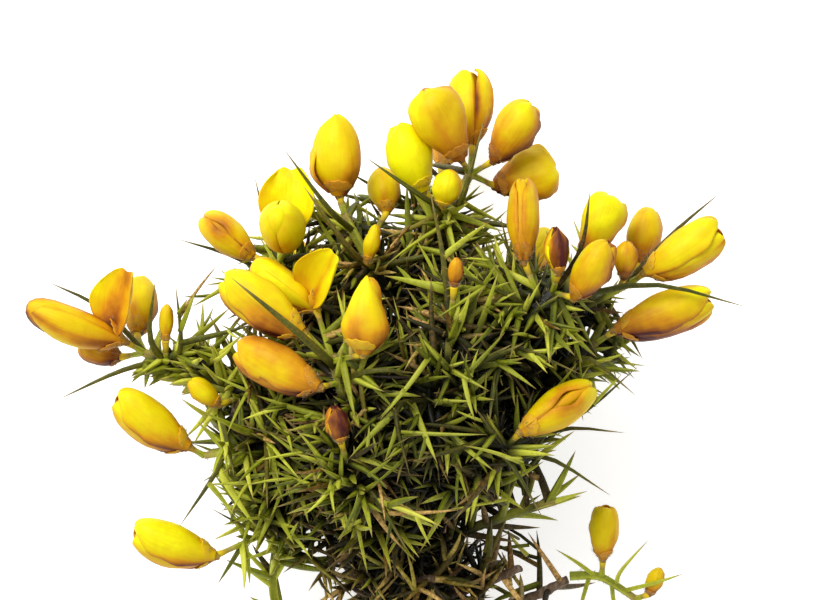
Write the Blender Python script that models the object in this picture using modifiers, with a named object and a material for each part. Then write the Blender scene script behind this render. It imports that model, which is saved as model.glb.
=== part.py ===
"""A cut sprig of gorse in bloom, lying on its back.

The sprig is planned as seen from above, in millimetres: X to the right, Y towards the head's top,
Z up from the table. Woody stem, green shoots and flowers are placed by hand, and the thorns grow
along the shoots by a rule. Each shoot and each flower is one solid.
"""

import math
import random
from collections import namedtuple

import bmesh
import bpy
import numpy as np
from mathutils import Matrix, Vector

MM = 0.001
CENTRE = (-7.1, -20.2)  # the plan's point that lands on the object's origin
TABLE = 0.0
SEED = 11

GAP = 0.35  # least gap between a thorn and any other piece
MEET = 0.3  # gap where one piece ends against another
STALK_LENGTH = 3.0
STALK_RADIUS = 0.6
TWIG_RADIUS = 0.75
DOME_REACH, DOME_GIRTH = 0.75, 0.66
UPWARD = (0.31, 0.2, 0.93)  # no stem runs along it, so it always gives a sideways direction

THORN_STEP = 2.7
THORN_LENGTH = (10.0, 16.5)
THORN_RADIUS = 0.95
SIDE_THORN_SHARE = 0.18
SIDE_THORN_LENGTH = (5.0, 7.5)
SIDE_THORN_RADIUS = 0.62
DEAD_THORN_STEP = 2.9
DEAD_THORN_LENGTH = (8.0, 15.0)
DEAD_THORN_RADIUS = 0.75
SHANK_TAPER = 0.74
POINT_RADIUS = 0.05
TIP_THORN_LENGTH = 7.0
THORN_LEAN = (50.0, 78.0)  # degrees from the stem at its base; it drops by TIP_CLOSING at the tip
TIP_CLOSING = 18.0
SIDE_THORN_LEAN = (38.0, 60.0)
SIDE_THORN_START = (0.25, 0.45)
DEAD_THORN_LEAN = (60.0, 95.0)
GOLDEN_ANGLE = math.radians(137.5)
THORN_TRIES, THORN_TURN, THORN_SHRINK = 7, math.radians(51), 0.93
DEAD_TRIES, DEAD_TURN, DEAD_SHRINK = 5, math.radians(67), 0.85
FREE_SHARE = 0.3  # from here outward a thorn keeps clear of the others on its own stem
FREE_GIRTH = 0.7
FREE_GAP = 0.1
VIEW_MARGIN = 0.4
HEAD_MIDDLE = np.array((-3.0, -15.0, 37.0))
HEAD_REACH = np.array((46.0, 43.0, 35.5))
LOWEST_THORN = 1.6

PETAL_THICKNESS = 0.65
HOOD_WRAP = math.radians(122.0)
STANDARD_LIFT = math.radians(78.0)
STANDARD_FOLD = math.radians(78.0)

Stem = namedtuple("Stem", "name points radii")
# A raised standard petal is spread millimetres wide, turned about its foot in degrees, and tall as
# a share of the usual height.
Flower = namedtuple("Flower", "name kind shoot base tip dorsal width depth spread turn tall",
                    defaults=(0.0, 0.0, 1.0))
Thorn = namedtuple("Thorn", "shoot points radius")

WOOD = [
    Stem("main", [(-4, -86, 1.7), (-5, -70, 9), (-6, -55, 19), (-5, -40, 29), (-4, -25, 35),
                  (-3, -8, 37), (-2, 6, 37)], (2.6, 1.5)),
    Stem("left_fork", [(-5, -42, 28), (-13, -33, 33), (-22, -23, 36)], (1.7, 1.2)),
    Stem("right_fork", [(-4, -34, 31), (7, -24, 36), (17, -12, 38)], (1.7, 1.2)),
    Stem("low_fork", [(-5, -68, 10), (8, -66, 15), (22, -61, 20), (30, -57, 22)], (1.3, 0.9)),
    Stem("tangle_right", [(-5.7, -60, 15.7), (3, -60.5, 20), (12, -58, 26), (20, -54, 31)],
         (1.1, 0.8)),
    Stem("tangle_front", [(-5.9, -56.5, 18), (-3, -56.5, 27), (3, -56, 35)], (1.1, 0.8)),
    Stem("tangle_left", [(-5.6, -61.5, 14.8), (-12, -57, 21), (-17, -51, 26), (-19, -46, 30)],
         (1.1, 0.8)),
    Stem("tangle_low", [(-4.9, -71, 8.4), (-5.4, -69.5, 19), (-3.5, -66, 31)], (1.1, 0.8)),
]

SHOOTS = [
    Stem("far_left", [(-23.5, -21.7, 36.6), (-34, -18.5, 39.5), (-46, -15, 40), (-55, -10.5, 39.5)],
         (1.2, 0.9)),
    Stem("left", [(-16, -31.5, 35), (-26, -29, 39), (-37, -30, 41), (-43, -31, 41.5)], (1.2, 0.8)),
    Stem("lower_left", [(-7.5, -75, 8.5), (-18, -74, 11), (-28, -66, 15), (-30, -56, 21),
                        (-28.5, -46, 28), (-30, -37, 34)], (1.2, 0.9)),
    Stem("upper_left", [(-5.5, -21, 37.5), (-16, -12, 40), (-24, 0, 40.5), (-28.5, 7, 40)],
         (1.3, 0.8)),
    Stem("front_left", [(-6, -33, 35), (-11, -27, 47), (-14.5, -20, 56), (-17, -12, 60)],
         (1.3, 0.9)),
    Stem("top_left", [(-4.5, -2, 38.5), (-9, 6, 43), (-13, 13, 44), (-15, 17, 43)], (1.2, 0.8)),
    Stem("top", [(-1.5, 8, 38.5), (3, 14, 42), (7, 20, 44), (10, 25, 43)], (1.2, 0.9)),
    Stem("upper_right", [(-1, -18, 38.5), (12, -10, 48), (21, -3, 53), (26, 1.5, 53.5)], (1.3, 0.9)),
    Stem("right", [(18.8, -11, 38.3), (28, -4, 41), (37, 1, 42.5), (42, 3.5, 42.5)], (1.2, 0.8)),
    Stem("right_low", [(2.8, -30.6, 36.4), (14, -24, 42), (26, -15, 44), (35, -8.5, 44)],
         (1.2, 0.8)),
    Stem("front_middle", [(-3.5, -37, 32.5), (3, -29, 46), (5, -17, 57), (6, -4, 62)], (1.3, 0.9)),
    Stem("lower_right", [(-3, -45, 27.5), (7, -38, 40), (14.5, -31.5, 50), (17, -28.8, 53.5)],
         (1.3, 0.9)),
    Stem("lower_front", [(-6.5, -50.5, 24.5), (-9, -45, 37), (-12, -38, 48), (-13.5, -34, 54)],
         (1.3, 0.9)),
    Stem("low_side", [(-3.2, -52, 21.5), (8, -47, 30), (18, -43, 37), (27, -40, 41)], (1.2, 0.9)),
    Stem("branch_right", [(31.2, -56.2, 22.2), (37, -56.5, 22), (44, -61, 20.5)], (0.95, 0.7)),
    Stem("back_left", [(-6, -29, 31.5), (-14, -18, 20), (-18, -9, 14), (-20, -3, 13)], (1.3, 0.9)),
    Stem("back_right", [(-2, -20, 33.5), (9, -10, 21), (15, -4, 15), (17.6, -1, 14)], (1.3, 0.9)),
    Stem("back_top", [(-2.2, -1, 35), (0, 8, 25), (2, 17, 21), (4, 24, 20)], (1.2, 0.8)),
    Stem("back_low_left", [(-7.5, -44.5, 25), (-17, -38, 19), (-27, -33, 17), (-35, -28, 18)],
         (1.2, 0.9)),
    Stem("back_low_right", [(-3.5, -42.5, 26), (8, -37, 18), (20, -31, 15), (28, -25, 17)],
         (1.2, 0.9)),
]

FLOWERS = [
    Flower("bloom_far_left", "open", "far_left", (-59, -8.2, 42), (-78.4, -1.6, 46.5),
           (0.3, 1, 0.1), 7.6, 8.4, 10.6, 42.0, 0.76),
    Flower("bloom_far_left_behind", "closed", "far_left", (-57, -6.8, 34), (-56, 3.6, 25),
           (-0.2, 0.5, 0.6), 7, 8),
    Flower("bud_far_left_low", "bud", "far_left", (-60, -11.5, 35), (-69, -10, 32.5),
           (0, 1, 0.2), 5.2, 5.6),
    Flower("bud_far_left_thin", "bud", "far_left", (-50.6, -8, 43.4), (-50.2, -0.6, 44.8),
           (0, -0.2, 1), 3, 3),
    Flower("bloom_left", "closed", "left", (-46, -29.2, 43), (-61.6, -20.6, 45),
           (0.45, 0.75, 0.5), 8, 9),
    Flower("bloom_lower_left", "closed", "lower_left", (-41.2, -51.4, 35), (-58.2, -48, 37),
           (0, 0.85, 0.5), 8, 9),
    Flower("bud_left", "bud", "far_left", (-39.8, -20.8, 45), (-46, -16, 47),
           (0.3, 0.4, 0.8), 4.4, 4.4),
    Flower("bloom_upper_left", "closed", "upper_left", (-33.4, 8.6, 40), (-43.6, 17, 39.5),
           (-0.1, -0.1, -1), 7.2, 7.6),
    Flower("bloom_upper_left_open", "open", "upper_left", (-25.6, 12, 43), (-28.4, 16.4, 58),
           (0.05, 1, -0.2), 7.6, 8.4, 11.6),
    Flower("bloom_top_left", "closed", "top_left", (-16, 20.8, 43), (-16.4, 37.4, 44),
           (-0.2, 0, 1), 9.6, 8.6),
    Flower("bloom_bright", "closed", "top", (0.6, 21.6, 47), (-5, 35, 49),
           (0.4, 0.2, 0.9), 9.2, 8.4),
    Flower("bloom_crown_left", "closed", "top", (8, 28, 49), (0.4, 42, 53),
           (0, 0, 1), 10.6, 8.8),
    Flower("bloom_crown_tip", "closed", "top", (10.4, 31, 39), (9, 46.4, 37),
           (1, 0, 0.4), 8, 8.8),
    Flower("bloom_crown_right", "closed", "top", (14.6, 27.6, 46), (23, 38.8, 48),
           (-0.5, 0.4, 0.8), 8, 8.6),
    Flower("bloom_crown_broad", "closed", "top", (15, 22.8, 37.5), (27.6, 26.4, 36),
           (0.1, 0.1, 1), 10.4, 8),
    Flower("bud_crown", "bud", "top", (4.4, 18.6, 53), (6.2, 25.6, 56),
           (0, 0, 1), 6, 5.4),
    Flower("bloom_pale", "closed", "top_left", (-6.6, 17.6, 37), (-7.8, 26.4, 34),
           (0, 0, 1), 6.6, 6.6),
    Flower("bloom_orange", "closed", "upper_right", (20.4, 7.6, 55), (20.2, 24.4, 52),
           (0.2, 0, -1), 6.6, 7.4),
    Flower("bloom_spent_maroon", "spent", "upper_right", (27, 5.2, 59), (26.2, 14.6, 60.5),
           (0.3, 0, 1), 4.6, 4.8),
    Flower("bloom_upper_right", "closed", "upper_right", (32.4, 8.4, 50), (38.6, 20.4, 49),
           (-0.4, 0.2, 0.9), 8, 8.6),
    Flower("bloom_upper_right_low", "closed", "upper_right", (30.2, 0.4, 57.5), (37.6, 11.4, 61),
           (-0.5, 0.3, 0.8), 7, 7.6),
    Flower("bud_right", "bud", "right", (40.2, 4.4, 50.5), (40.8, 11.8, 52),
           (0, 0, 1), 4.8, 5),
    Flower("bloom_right_behind", "closed", "right", (43.4, 7.4, 39), (46.6, 18.2, 36),
           (-0.4, 0.2, 0.9), 6.8, 7.4),
    Flower("bloom_right", "closed", "right", (44.6, 5.4, 47.5), (60.6, 12.6, 49),
           (-0.3, 0.9, 0.3), 7.6, 8.4),
    Flower("bloom_right_low", "closed", "right_low", (38.8, -6, 45), (58.8, -0.8, 44),
           (-0.2, 0.95, 0.3), 7.6, 8.4),
    Flower("bloom_slit", "closed", "lower_right", (19.8, -25.8, 57), (34.4, -16.6, 55),
           (0.2, -0.1, -1), 7.8, 8.4),
    Flower("bloom_front", "closed", "front_left", (-11, -10.4, 66.5), (-10, 5, 68.5),
           (-0.4, 0, 0.9), 9.8, 8.8),
    Flower("bloom_front_low", "closed", "front_left", (-19.6, -17, 62), (-36.6, -10.4, 57),
           (0.3, 0.9, 0.4), 7.8, 8.6),
    Flower("bloom_pair_low", "closed", "front_left", (-23, -6.4, 60), (-39.4, 3.6, 57),
           (0.5, 0.8, 0.4), 8.4, 9),
    Flower("bloom_pair_open", "open", "front_left", (-20.4, -1.8, 51), (-33.4, 7.2, 50.6),
           (0.2, 0.9, 0.4), 7.6, 8.4, 10.0, 62.0),
    Flower("bud_narrow", "bud", "top_left", (-10.4, 7.6, 53), (-8.4, 15, 55.5),
           (0, 0, 1), 3.4, 3.4),
    Flower("bloom_spent_brown", "spent", "lower_front", (-15.4, -27.4, 63), (-16.8, -20.4, 65.5),
           (0.3, 0, 1), 4.4, 4.4),
    Flower("bloom_lower_right", "closed", "branch_right", (37.2, -52.6, 24), (37, -41.4, 26),
           (0.6, 0, 0.8), 5.6, 6),
    Flower("bud_lower_right", "bud", "branch_right", (46.6, -60, 21.4), (49, -54.4, 22.6),
           (0, 0, 1), 3.6, 3.6),
    Flower("bud_middle", "bud", "front_middle", (6.6, 2.6, 66), (7.2, 8.4, 68),
           (0, 0, 1), 3, 3),
    Flower("bloom_back_left", "closed", "back_left", (-20.6, 3, 7.4), (-31, 13, 0.7),
           (0.2, 0.2, -1), 8, 8.4),
    Flower("bloom_back_right", "closed", "back_right", (18.4, 4.4, 7.7), (27.6, 14.4, 0.6),
           (-0.2, 0.2, -1), 8, 8.4),
    Flower("bloom_back_top", "closed", "back_top", (4.4, 27.6, 17.5), (8.6, 39.4, 9.6),
           (0, 0.4, -1), 8, 8.4),
    Flower("bloom_back_low", "closed", "back_low_right", (4, -40, 10.5), (0, -54, 5.6),
           (0.2, 0.2, -1), 7.6, 8.2),
]

LONG_THORNS = [
    Thorn("front_left", [(-16.6, -13, 59.5), (-24, -6, 65.5), (-36.6, 4.4, 66)], 1.15),
    Thorn("top_left", [(-13.6, 14, 44), (-18, 18, 52), (-27, 30, 53)], 0.85),
    Thorn("top_left", [(-9.2, 6.4, 43.1), (-13.6, 9.6, 57), (-22.8, 22.4, 61)], 0.9),
    Thorn("upper_left", [(-26, 3, 40.4), (-30, 12, 37), (-33.2, 25, 36)], 0.8),
    Thorn("upper_left", [(-25.5, 2.5, 40.4), (-37, 8.6, 34), (-48.6, 12.2, 34)], 0.75),
    Thorn("top", [(5.5, 17.6, 43.4), (0, 20.6, 53), (-10.6, 28, 54)], 0.75),
    Thorn("top", [(6.8, 19.6, 44), (8.4, 20, 57), (12.6, 35.6, 58.5)], 0.9),
    Thorn("front_middle", [(5.8, -6, 61.5), (4.6, 7.6, 62), (2, 21, 61)], 0.85),
    Thorn("upper_right", [(26, 1.2, 53.4), (31.5, 10, 58), (33.2, 21.4, 59)], 0.8),
    Thorn("right", [(41, 3.2, 42.5), (50, 13, 42), (59.6, 21.2, 42)], 0.7),
    Thorn("upper_right", [(22, -2.2, 53.2), (44, 3.2, 51), (64.6, -1.4, 50)], 0.85),
    Thorn("upper_right", [(22, -2, 53.2), (15, 2, 62), (4.4, 6.4, 64)], 0.7),
    Thorn("far_left", [(-52, -12, 39.8), (-60.4, -14.4, 42), (-72, -19.8, 42)], 0.75),
    Thorn("far_left", [(-54.6, -10.8, 39.6), (-64, -1.6, 35), (-74.6, 3.6, 35)], 0.75),
    Thorn("far_left", [(-51, -12.5, 39.8), (-53.6, -7, 46), (-52.2, 4.2, 49)], 0.85),
    Thorn("far_left", [(-49, -13.4, 40), (-47.4, -8, 45), (-48.4, 3.2, 47)], 0.75),
    Thorn("right_low", [(24, -16.5, 44), (32, -11, 52), (42.2, -18.6, 53)], 0.85),
    Thorn("lower_right", [(15.6, -30.4, 51.6), (28, -25.4, 51), (40.4, -26.2, 50)], 0.7),
    Thorn("lower_right", [(14.5, -31.5, 50), (25, -31, 49), (37.6, -38.6, 48)], 0.8),
    Thorn("lower_right", [(15, -31, 50.6), (31, -23.4, 46), (43.4, -13, 46)], 0.6),
    Thorn("lower_right", [(13.5, -32.4, 48.6), (17, -31, 57), (24, -42.6, 57)], 0.85),
    Thorn("lower_front", [(-12.6, -36.4, 50.5), (-9, -38, 57), (-2.4, -49.2, 57)], 0.85),
    Thorn("left", [(-35, -29.9, 40.6), (-31, -25, 47), (-18.4, -17, 53)], 0.75),
    Thorn("front_middle", [(4.6, -20, 54.6), (-4.6, -20.6, 64), (-2, -34, 64)], 0.8),
    Thorn("left", [(-39, -30.3, 41.2), (-41, -35, 43), (-47.8, -45, 43)], 0.8),
    Thorn("front_left", [(-15.6, -16, 58), (-9, -13.6, 66), (-0.4, -14.2, 65)], 0.8),
    Thorn("front_middle", [(5.4, -13.4, 58.6), (7.6, -14.4, 64.6), (13.4, -17.6, 67)], 0.7),
    Thorn("upper_right", [(13, -9.2, 48.8), (18, -8.6, 60), (31.6, -14.6, 60)], 0.8),
    Thorn("branch_right", [(40, -57.8, 21.6), (41, -55, 22.5), (46.4, -48.8, 24)], 0.6),
    Thorn("branch_right", [(36, -56.5, 22), (32, -53.4, 24), (27.6, -50.6, 26)], 0.6),
    Thorn("branch_right", [(42, -59.2, 21), (48, -57.4, 24.5), (53.4, -55.6, 25)], 0.6),
    Thorn("branch_right", [(34.5, -56.4, 22.1), (33, -61, 24), (32, -66, 25)], 0.6),
    Thorn("branch_right", [(39, -57.4, 21.7), (40, -63, 20), (44, -68, 19)], 0.6),
]

PETAL_COLOUR = (0.95, 0.66, 0.01, 1.0)
SPENT_COLOUR = (0.12, 0.02, 0.015, 1.0)
SHOOT_COLOUR = (0.16, 0.2, 0.03, 1.0)
WOOD_COLOUR = (0.09, 0.05, 0.025, 1.0)


def unit(vector):
    return vector / np.linalg.norm(vector)


def rounded_path(points, steps=2):
    """A smooth path through the points, with the given number of steps between two of them."""
    points = [np.array(p, float) for p in points]
    ends = [2 * points[0] - points[1]] + points + [2 * points[-1] - points[-2]]
    path = []
    for a, b, c, d in zip(ends, ends[1:], ends[2:], ends[3:]):
        for t in np.arange(steps) / steps:
            bend = (2 * a - 5 * b + 4 * c - d) * t**2 + (3 * b - a - 3 * c + d) * t**3
            path.append(0.5 * (2 * b + (c - a) * t + bend))
    path.append(points[-1])
    return np.array(path)


class Clearance:
    """Every straight stretch placed so far, as tapered rods with the name of the piece each is in."""

    def __init__(self):
        self.rods = []
        self.owners = []

    def add(self, owner, a, b, radius_a, radius_b):
        self.rods.append((*a, *b, radius_a, radius_b))
        self.owners.append(owner)

    def add_path(self, owner, path, radii):
        for a, b, radius_a, radius_b in zip(path, path[1:], radii, radii[1:]):
            self.add(owner, a, b, radius_a, radius_b)

    def room(self, owner, a, b, radius_a, radius_b):
        """Smallest gap between a new rod and every rod of another piece."""
        rods = np.array([rod for rod, name in zip(self.rods, self.owners) if name != owner])
        if not len(rods):
            return math.inf
        p, q, q_radii = rods[:, 0:3], rods[:, 3:6], rods[:, 6:8]
        u, v, w = b - a, q - p, a - p
        uu, uv, vv = u @ u, v @ u, np.einsum("ij,ij->i", v, v)
        uw, vw = w @ u, np.einsum("ij,ij->i", v, w)
        spread = np.maximum(uu * vv - uv * uv, 1e-9)
        s = np.clip((uv * vw - vv * uw) / spread, 0, 1)
        t = np.clip((uv * s + vw) / vv, 0, 1)
        s = np.clip((uv * t - uw) / uu, 0, 1)
        apart = np.linalg.norm(w + s[:, None] * u - t[:, None] * v, axis=1)
        own = radius_a + (radius_b - radius_a) * s
        other = q_radii[:, 0] + (q_radii[:, 1] - q_radii[:, 0]) * t
        return float(np.min(apart - own - other))


def flower_frame(flower):
    """Length, and the sideways, forward and dorsal directions of a flower."""
    forward = np.array(flower.tip, float) - flower.base
    length = np.linalg.norm(forward)
    forward = forward / length
    dorsal = np.array(flower.dorsal, float)
    dorsal = unit(dorsal - (dorsal @ forward) * forward)
    return length, np.cross(forward, dorsal), forward, dorsal


def flower_rods(flower):
    """The rods that stand for a flower's body: base, middle and tip, and a raised standard."""
    length, side, forward, dorsal = flower_frame(flower)
    base = np.array(flower.base, float)
    girth = 0.5 * max(flower.width, flower.depth)
    stations = [(-0.05, 0.45), (0.25, 0.95), (0.7, 0.95), (1.0, 0.45)]
    points = [base + forward * length * along for along, _ in stations]
    radii = [girth * share + 0.15 for _, share in stations]
    rods = list(zip(points, points[1:], radii, radii[1:]))
    if flower.kind == "open":
        rise = math.sin(STANDARD_LIFT) * dorsal + math.cos(STANDARD_LIFT) * forward
        root = base + forward * 0.12 * length
        top = root + rise * 0.78 * length
        turn = math.radians(flower.turn)
        across = math.cos(turn) * side + math.sin(turn) * forward
        for lean in (-0.32, 0.0, 0.32):
            rods.append((root, top + lean * flower.spread * across, 1.5, 2.0))
    return rods


def stalk_and_twig(flower, stem):
    """A flower's stalk, and the shoot's twig that leads to it, end to end on one straight line."""
    forward = flower_frame(flower)[2]
    base = np.array(flower.base, float)
    behind = base - forward * (STALK_LENGTH + MEET)
    root = stem[np.argmin(np.linalg.norm(stem[1:] - behind, axis=1)) + 1]
    reach = np.linalg.norm(base - root)
    along = (base - root) / reach
    stalk = min(STALK_LENGTH, 0.5 * reach)
    foot = base - along * stalk
    return foot, np.array([root, foot - along * MEET])


def cross_directions(along):
    """Two directions square to a stem and to each other."""
    across = unit(np.cross(along, UPWARD))
    return across, np.cross(along, across)


def thorn_frame(stem, share):
    """A point of a stem and the directions along it and across it."""
    place = share * (len(stem) - 1)
    leg = min(int(place), len(stem) - 2)
    point = stem[leg] + (stem[leg + 1] - stem[leg]) * (place - leg)
    along = unit(stem[leg + 1] - stem[leg])
    return point, along, *cross_directions(along)


def path_length(path):
    return np.linalg.norm(np.diff(path, axis=0), axis=1).sum()


class Layout:
    """Where everything is: stems, flowers, twigs and thorns, all clear of each other."""

    def __init__(self):
        self.draw = random.Random(SEED)
        self.clearance = Clearance()
        self.stems = {}
        self.twigs = {}
        self.thorns = {}
        self.feet = {}
        self.points = {}
        self.views = []
        for stem in WOOD:
            self.place_stem("woody_stem", stem)
        for stem in SHOOTS:
            self.place_stem("shoot_" + stem.name, stem)
        for flower in FLOWERS:
            self.place_flower(flower)
        for thorn in LONG_THORNS:
            self.place_long_thorn(thorn)
        self.grow_thorns()
        self.grow_dead_thorns()

    def place_stem(self, owner, stem):
        path = rounded_path(stem.points)
        radii = np.linspace(*stem.radii, len(path))
        if owner != "woody_stem":
            path = self.seated(path, radii[0])
        self.stems.setdefault(owner, []).append((path, radii))
        self.clearance.add_path(owner, path, radii)

    def seated(self, path, radius):
        """The path shortened at its start until its end face just clears the wood."""
        along = unit(path[1] - path[0])
        across, over = cross_directions(along)
        turns = np.linspace(0, 2 * math.pi, 12, endpoint=False)
        rim = [radius * (math.cos(turn) * across + math.sin(turn) * over) for turn in turns]
        start, step = path[0] - 2.0 * along, 0.1 * along
        while True:
            spots = [start + spot for spot in rim] + [start]
            gap = min(self.clearance.room("", spot, spot + 0.01 * step, 0, 0) for spot in spots)
            if gap >= MEET:
                return np.array([start, *path[1:]])
            start = start + step

    def place_flower(self, flower):
        for a, b, radius_a, radius_b in flower_rods(flower):
            self.clearance.add(flower.name, a, b, radius_a, radius_b)
            if not flower.shoot.startswith("back"):
                self.views.append((a, b, max(radius_a, radius_b)))
        owner = "shoot_" + flower.shoot
        foot, twig = stalk_and_twig(flower, self.stems[owner][0][0])
        self.feet[flower.name] = foot
        self.clearance.add(flower.name, foot, np.array(flower.base, float), STALK_RADIUS, 1.0)
        self.twigs.setdefault(owner, []).append(twig)
        self.clearance.add_path(owner, twig, (TWIG_RADIUS, STALK_RADIUS))

    def place_long_thorn(self, thorn):
        owner = "shoot_" + thorn.shoot
        points = [np.array(p, float) for p in thorn.points]
        self.add_thorn(owner, points, thorn.radius)

    def add_thorn(self, owner, points, radius):
        self.thorns.setdefault(owner, []).append((points, radius))
        shank = [radius * SHANK_TAPER] if len(points) == 3 else []
        self.clearance.add_path(owner, points, [radius, *shank, POINT_RADIUS])
        outer = points[-2] + (points[-1] - points[-2]) * FREE_SHARE
        free = self.points.setdefault(owner, Clearance())
        free.add("", outer, points[-1], radius * FREE_GIRTH, POINT_RADIUS)

    def in_the_way(self, points):
        """True if a thorn would pass in front of a flower, or leave the head."""
        for share in (0.4, 0.7, 1.0):
            spot = points[0] + (points[-1] - points[0]) * share
            for a, b, radius in self.views:
                leg = b[:2] - a[:2]
                t = np.clip((spot[:2] - a[:2]) @ leg / max(leg @ leg, 1e-6), 0, 1)
                near = np.linalg.norm(a[:2] + t * leg - spot[:2]) < radius + VIEW_MARGIN
                if near and spot[2] > (a + t * (b - a))[2]:
                    return True
        return points[-1][2] < LOWEST_THORN

    def in_the_head(self, point):
        return np.linalg.norm((point - HEAD_MIDDLE) / HEAD_REACH) < 1.0

    def try_thorn(self, owner, root, direction, length, radius):
        points = [root, root + direction * length]
        if self.in_the_way(points):
            return False
        if self.clearance.room(owner, *points, radius, POINT_RADIUS) < GAP:
            return False
        outer = root + direction * length * FREE_SHARE
        girth = radius * FREE_GIRTH
        if self.points[owner].room("own", outer, points[1], girth, POINT_RADIUS) < FREE_GAP:
            return False
        self.add_thorn(owner, points, radius)
        return True

    def grow_thorn(self, owner, stem, share, turn):
        """One thorn on a stem, with a smaller one on its side, where there is room."""
        draw = self.draw
        root, along, across, over = thorn_frame(stem, share)
        lean = math.radians(draw.uniform(*THORN_LEAN) - TIP_CLOSING * share)
        length = draw.uniform(*THORN_LENGTH)
        for _ in range(THORN_TRIES):
            outward = math.cos(turn) * across + math.sin(turn) * over
            direction = math.cos(lean) * along + math.sin(lean) * outward
            if self.in_the_head(root + direction * length):
                if self.try_thorn(owner, root, direction, length, THORN_RADIUS):
                    self.grow_side_thorn(owner, root, direction * length, outward)
                    return
            turn += THORN_TURN
            length *= THORN_SHRINK

    def grow_side_thorn(self, owner, root, leg, outward):
        draw = self.draw
        if draw.random() > SIDE_THORN_SHARE:
            return
        direction = unit(leg)
        sideways = unit(np.cross(direction, outward) * draw.choice((-1, 1)) + 0.3 * outward)
        lean = math.radians(draw.uniform(*SIDE_THORN_LEAN))
        aim = math.cos(lean) * direction + math.sin(lean) * sideways
        start = root + leg * draw.uniform(*SIDE_THORN_START)
        self.try_thorn(owner, start, aim, draw.uniform(*SIDE_THORN_LENGTH), SIDE_THORN_RADIUS)

    def grow_thorns(self):
        """A thorn on each shoot in turn, in a spiral up its stem, so that none crowds out the rest."""
        waiting = []
        for number, stem in enumerate(SHOOTS):
            owner = "shoot_" + stem.name
            path = self.stems[owner][0][0]
            count = int(path_length(path) / THORN_STEP)
            for step in range(count):
                share = 0.1 + 0.88 * (step + 0.5) / count
                waiting.append((step / count, number, owner, path, share, step * GOLDEN_ANGLE))
            self.thorns.setdefault(owner, [])
            self.points.setdefault(owner, Clearance())
            tip = [path[-2], path[-1], path[-1] + unit(path[-1] - path[-2]) * TIP_THORN_LENGTH]
            if self.clear_tip(owner, tip, stem.radii[1]):
                self.add_thorn(owner, tip, stem.radii[1])
        for _, number, owner, path, share, turn in sorted(waiting, key=lambda item: -item[0]):
            self.grow_thorn(owner, path, share, turn)

    def clear_tip(self, owner, tip, radius):
        """True if a thorn can end the shoot; the hidden ones end in their flower instead."""
        if owner.startswith("shoot_back"):
            return False
        room = self.clearance.room(owner, tip[1], tip[2], radius, POINT_RADIUS)
        return room > GAP and not self.in_the_way(tip)

    def grow_dead_thorns(self):
        """Bare brown thorns on the wood, thickest in the lower part of the head."""
        self.points["woody_stem"] = Clearance()
        for path, _ in self.stems["woody_stem"]:
            count = int(path_length(path) / DEAD_THORN_STEP)
            for step in range(count):
                share = 0.16 + 0.82 * (step + 0.5) / count
                self.grow_dead_thorn(path, share, step * GOLDEN_ANGLE)

    def grow_dead_thorn(self, path, share, turn):
        draw = self.draw
        root, along, across, over = thorn_frame(path, share)
        lean = math.radians(draw.uniform(*DEAD_THORN_LEAN))
        length = draw.uniform(*DEAD_THORN_LENGTH)
        for _ in range(DEAD_TRIES):
            outward = math.cos(turn) * across + math.sin(turn) * over
            direction = math.cos(lean) * along + math.sin(lean) * outward
            if self.try_thorn("woody_stem", root, direction, length, DEAD_THORN_RADIUS):
                return
            turn += DEAD_TURN
            length *= DEAD_SHRINK


def to_metres(point):
    return Vector(((point[0] - CENTRE[0]) * MM, (point[1] - CENTRE[1]) * MM, point[2] * MM))


def plain_material(name, colour, roughness):
    material = bpy.data.materials.new(name)
    material.use_nodes = True
    shader = material.node_tree.nodes["Principled BSDF"]
    shader.inputs["Base Color"].default_value = colour
    shader.inputs["Roughness"].default_value = roughness
    material.diffuse_color = colour
    return material


def new_object(name, mesh, collection):
    obj = bpy.data.objects.new(name, mesh)
    collection.objects.link(obj)
    return obj


def mesh_of(bm, name):
    mesh = bpy.data.meshes.new(name)
    bm.to_mesh(mesh)
    bm.free()
    return mesh


def stem_mesh(name, path, radii, rings):
    """A tapered round stem: a curve with a round bevel, its caps welded on."""
    curve = bpy.data.curves.new(name, "CURVE")
    curve.dimensions = "3D"
    curve.bevel_depth = 1.0
    curve.bevel_resolution = rings
    curve.use_fill_caps = True
    spline = curve.splines.new("POLY")
    spline.points.add(len(path) - 1)
    for spot, point, radius in zip(spline.points, path, radii):
        spot.co = (*to_metres(point), 1.0)
        spot.radius = radius * MM
    guide = bpy.data.objects.new(name, curve)
    bpy.context.scene.collection.objects.link(guide)
    graph = bpy.context.evaluated_depsgraph_get()
    bm = bmesh.new()
    bm.from_mesh(guide.evaluated_get(graph).to_mesh())
    bmesh.ops.remove_doubles(bm, verts=bm.verts, dist=1e-6)
    bmesh.ops.recalc_face_normals(bm, faces=bm.faces)
    if bm.calc_volume(signed=True) < 0:
        bmesh.ops.reverse_faces(bm, faces=bm.faces)
    bpy.data.objects.remove(guide)
    bpy.data.curves.remove(curve)
    return mesh_of(bm, name)


def domed(path, radii):
    """The stem with one more, narrower ring past its end, so that it ends in a blunt dome."""
    beyond = path[-1] + unit(path[-1] - path[-2]) * DOME_REACH * radii[-1]
    return np.vstack((path, beyond)), np.append(radii, DOME_GIRTH * radii[-1])


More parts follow.
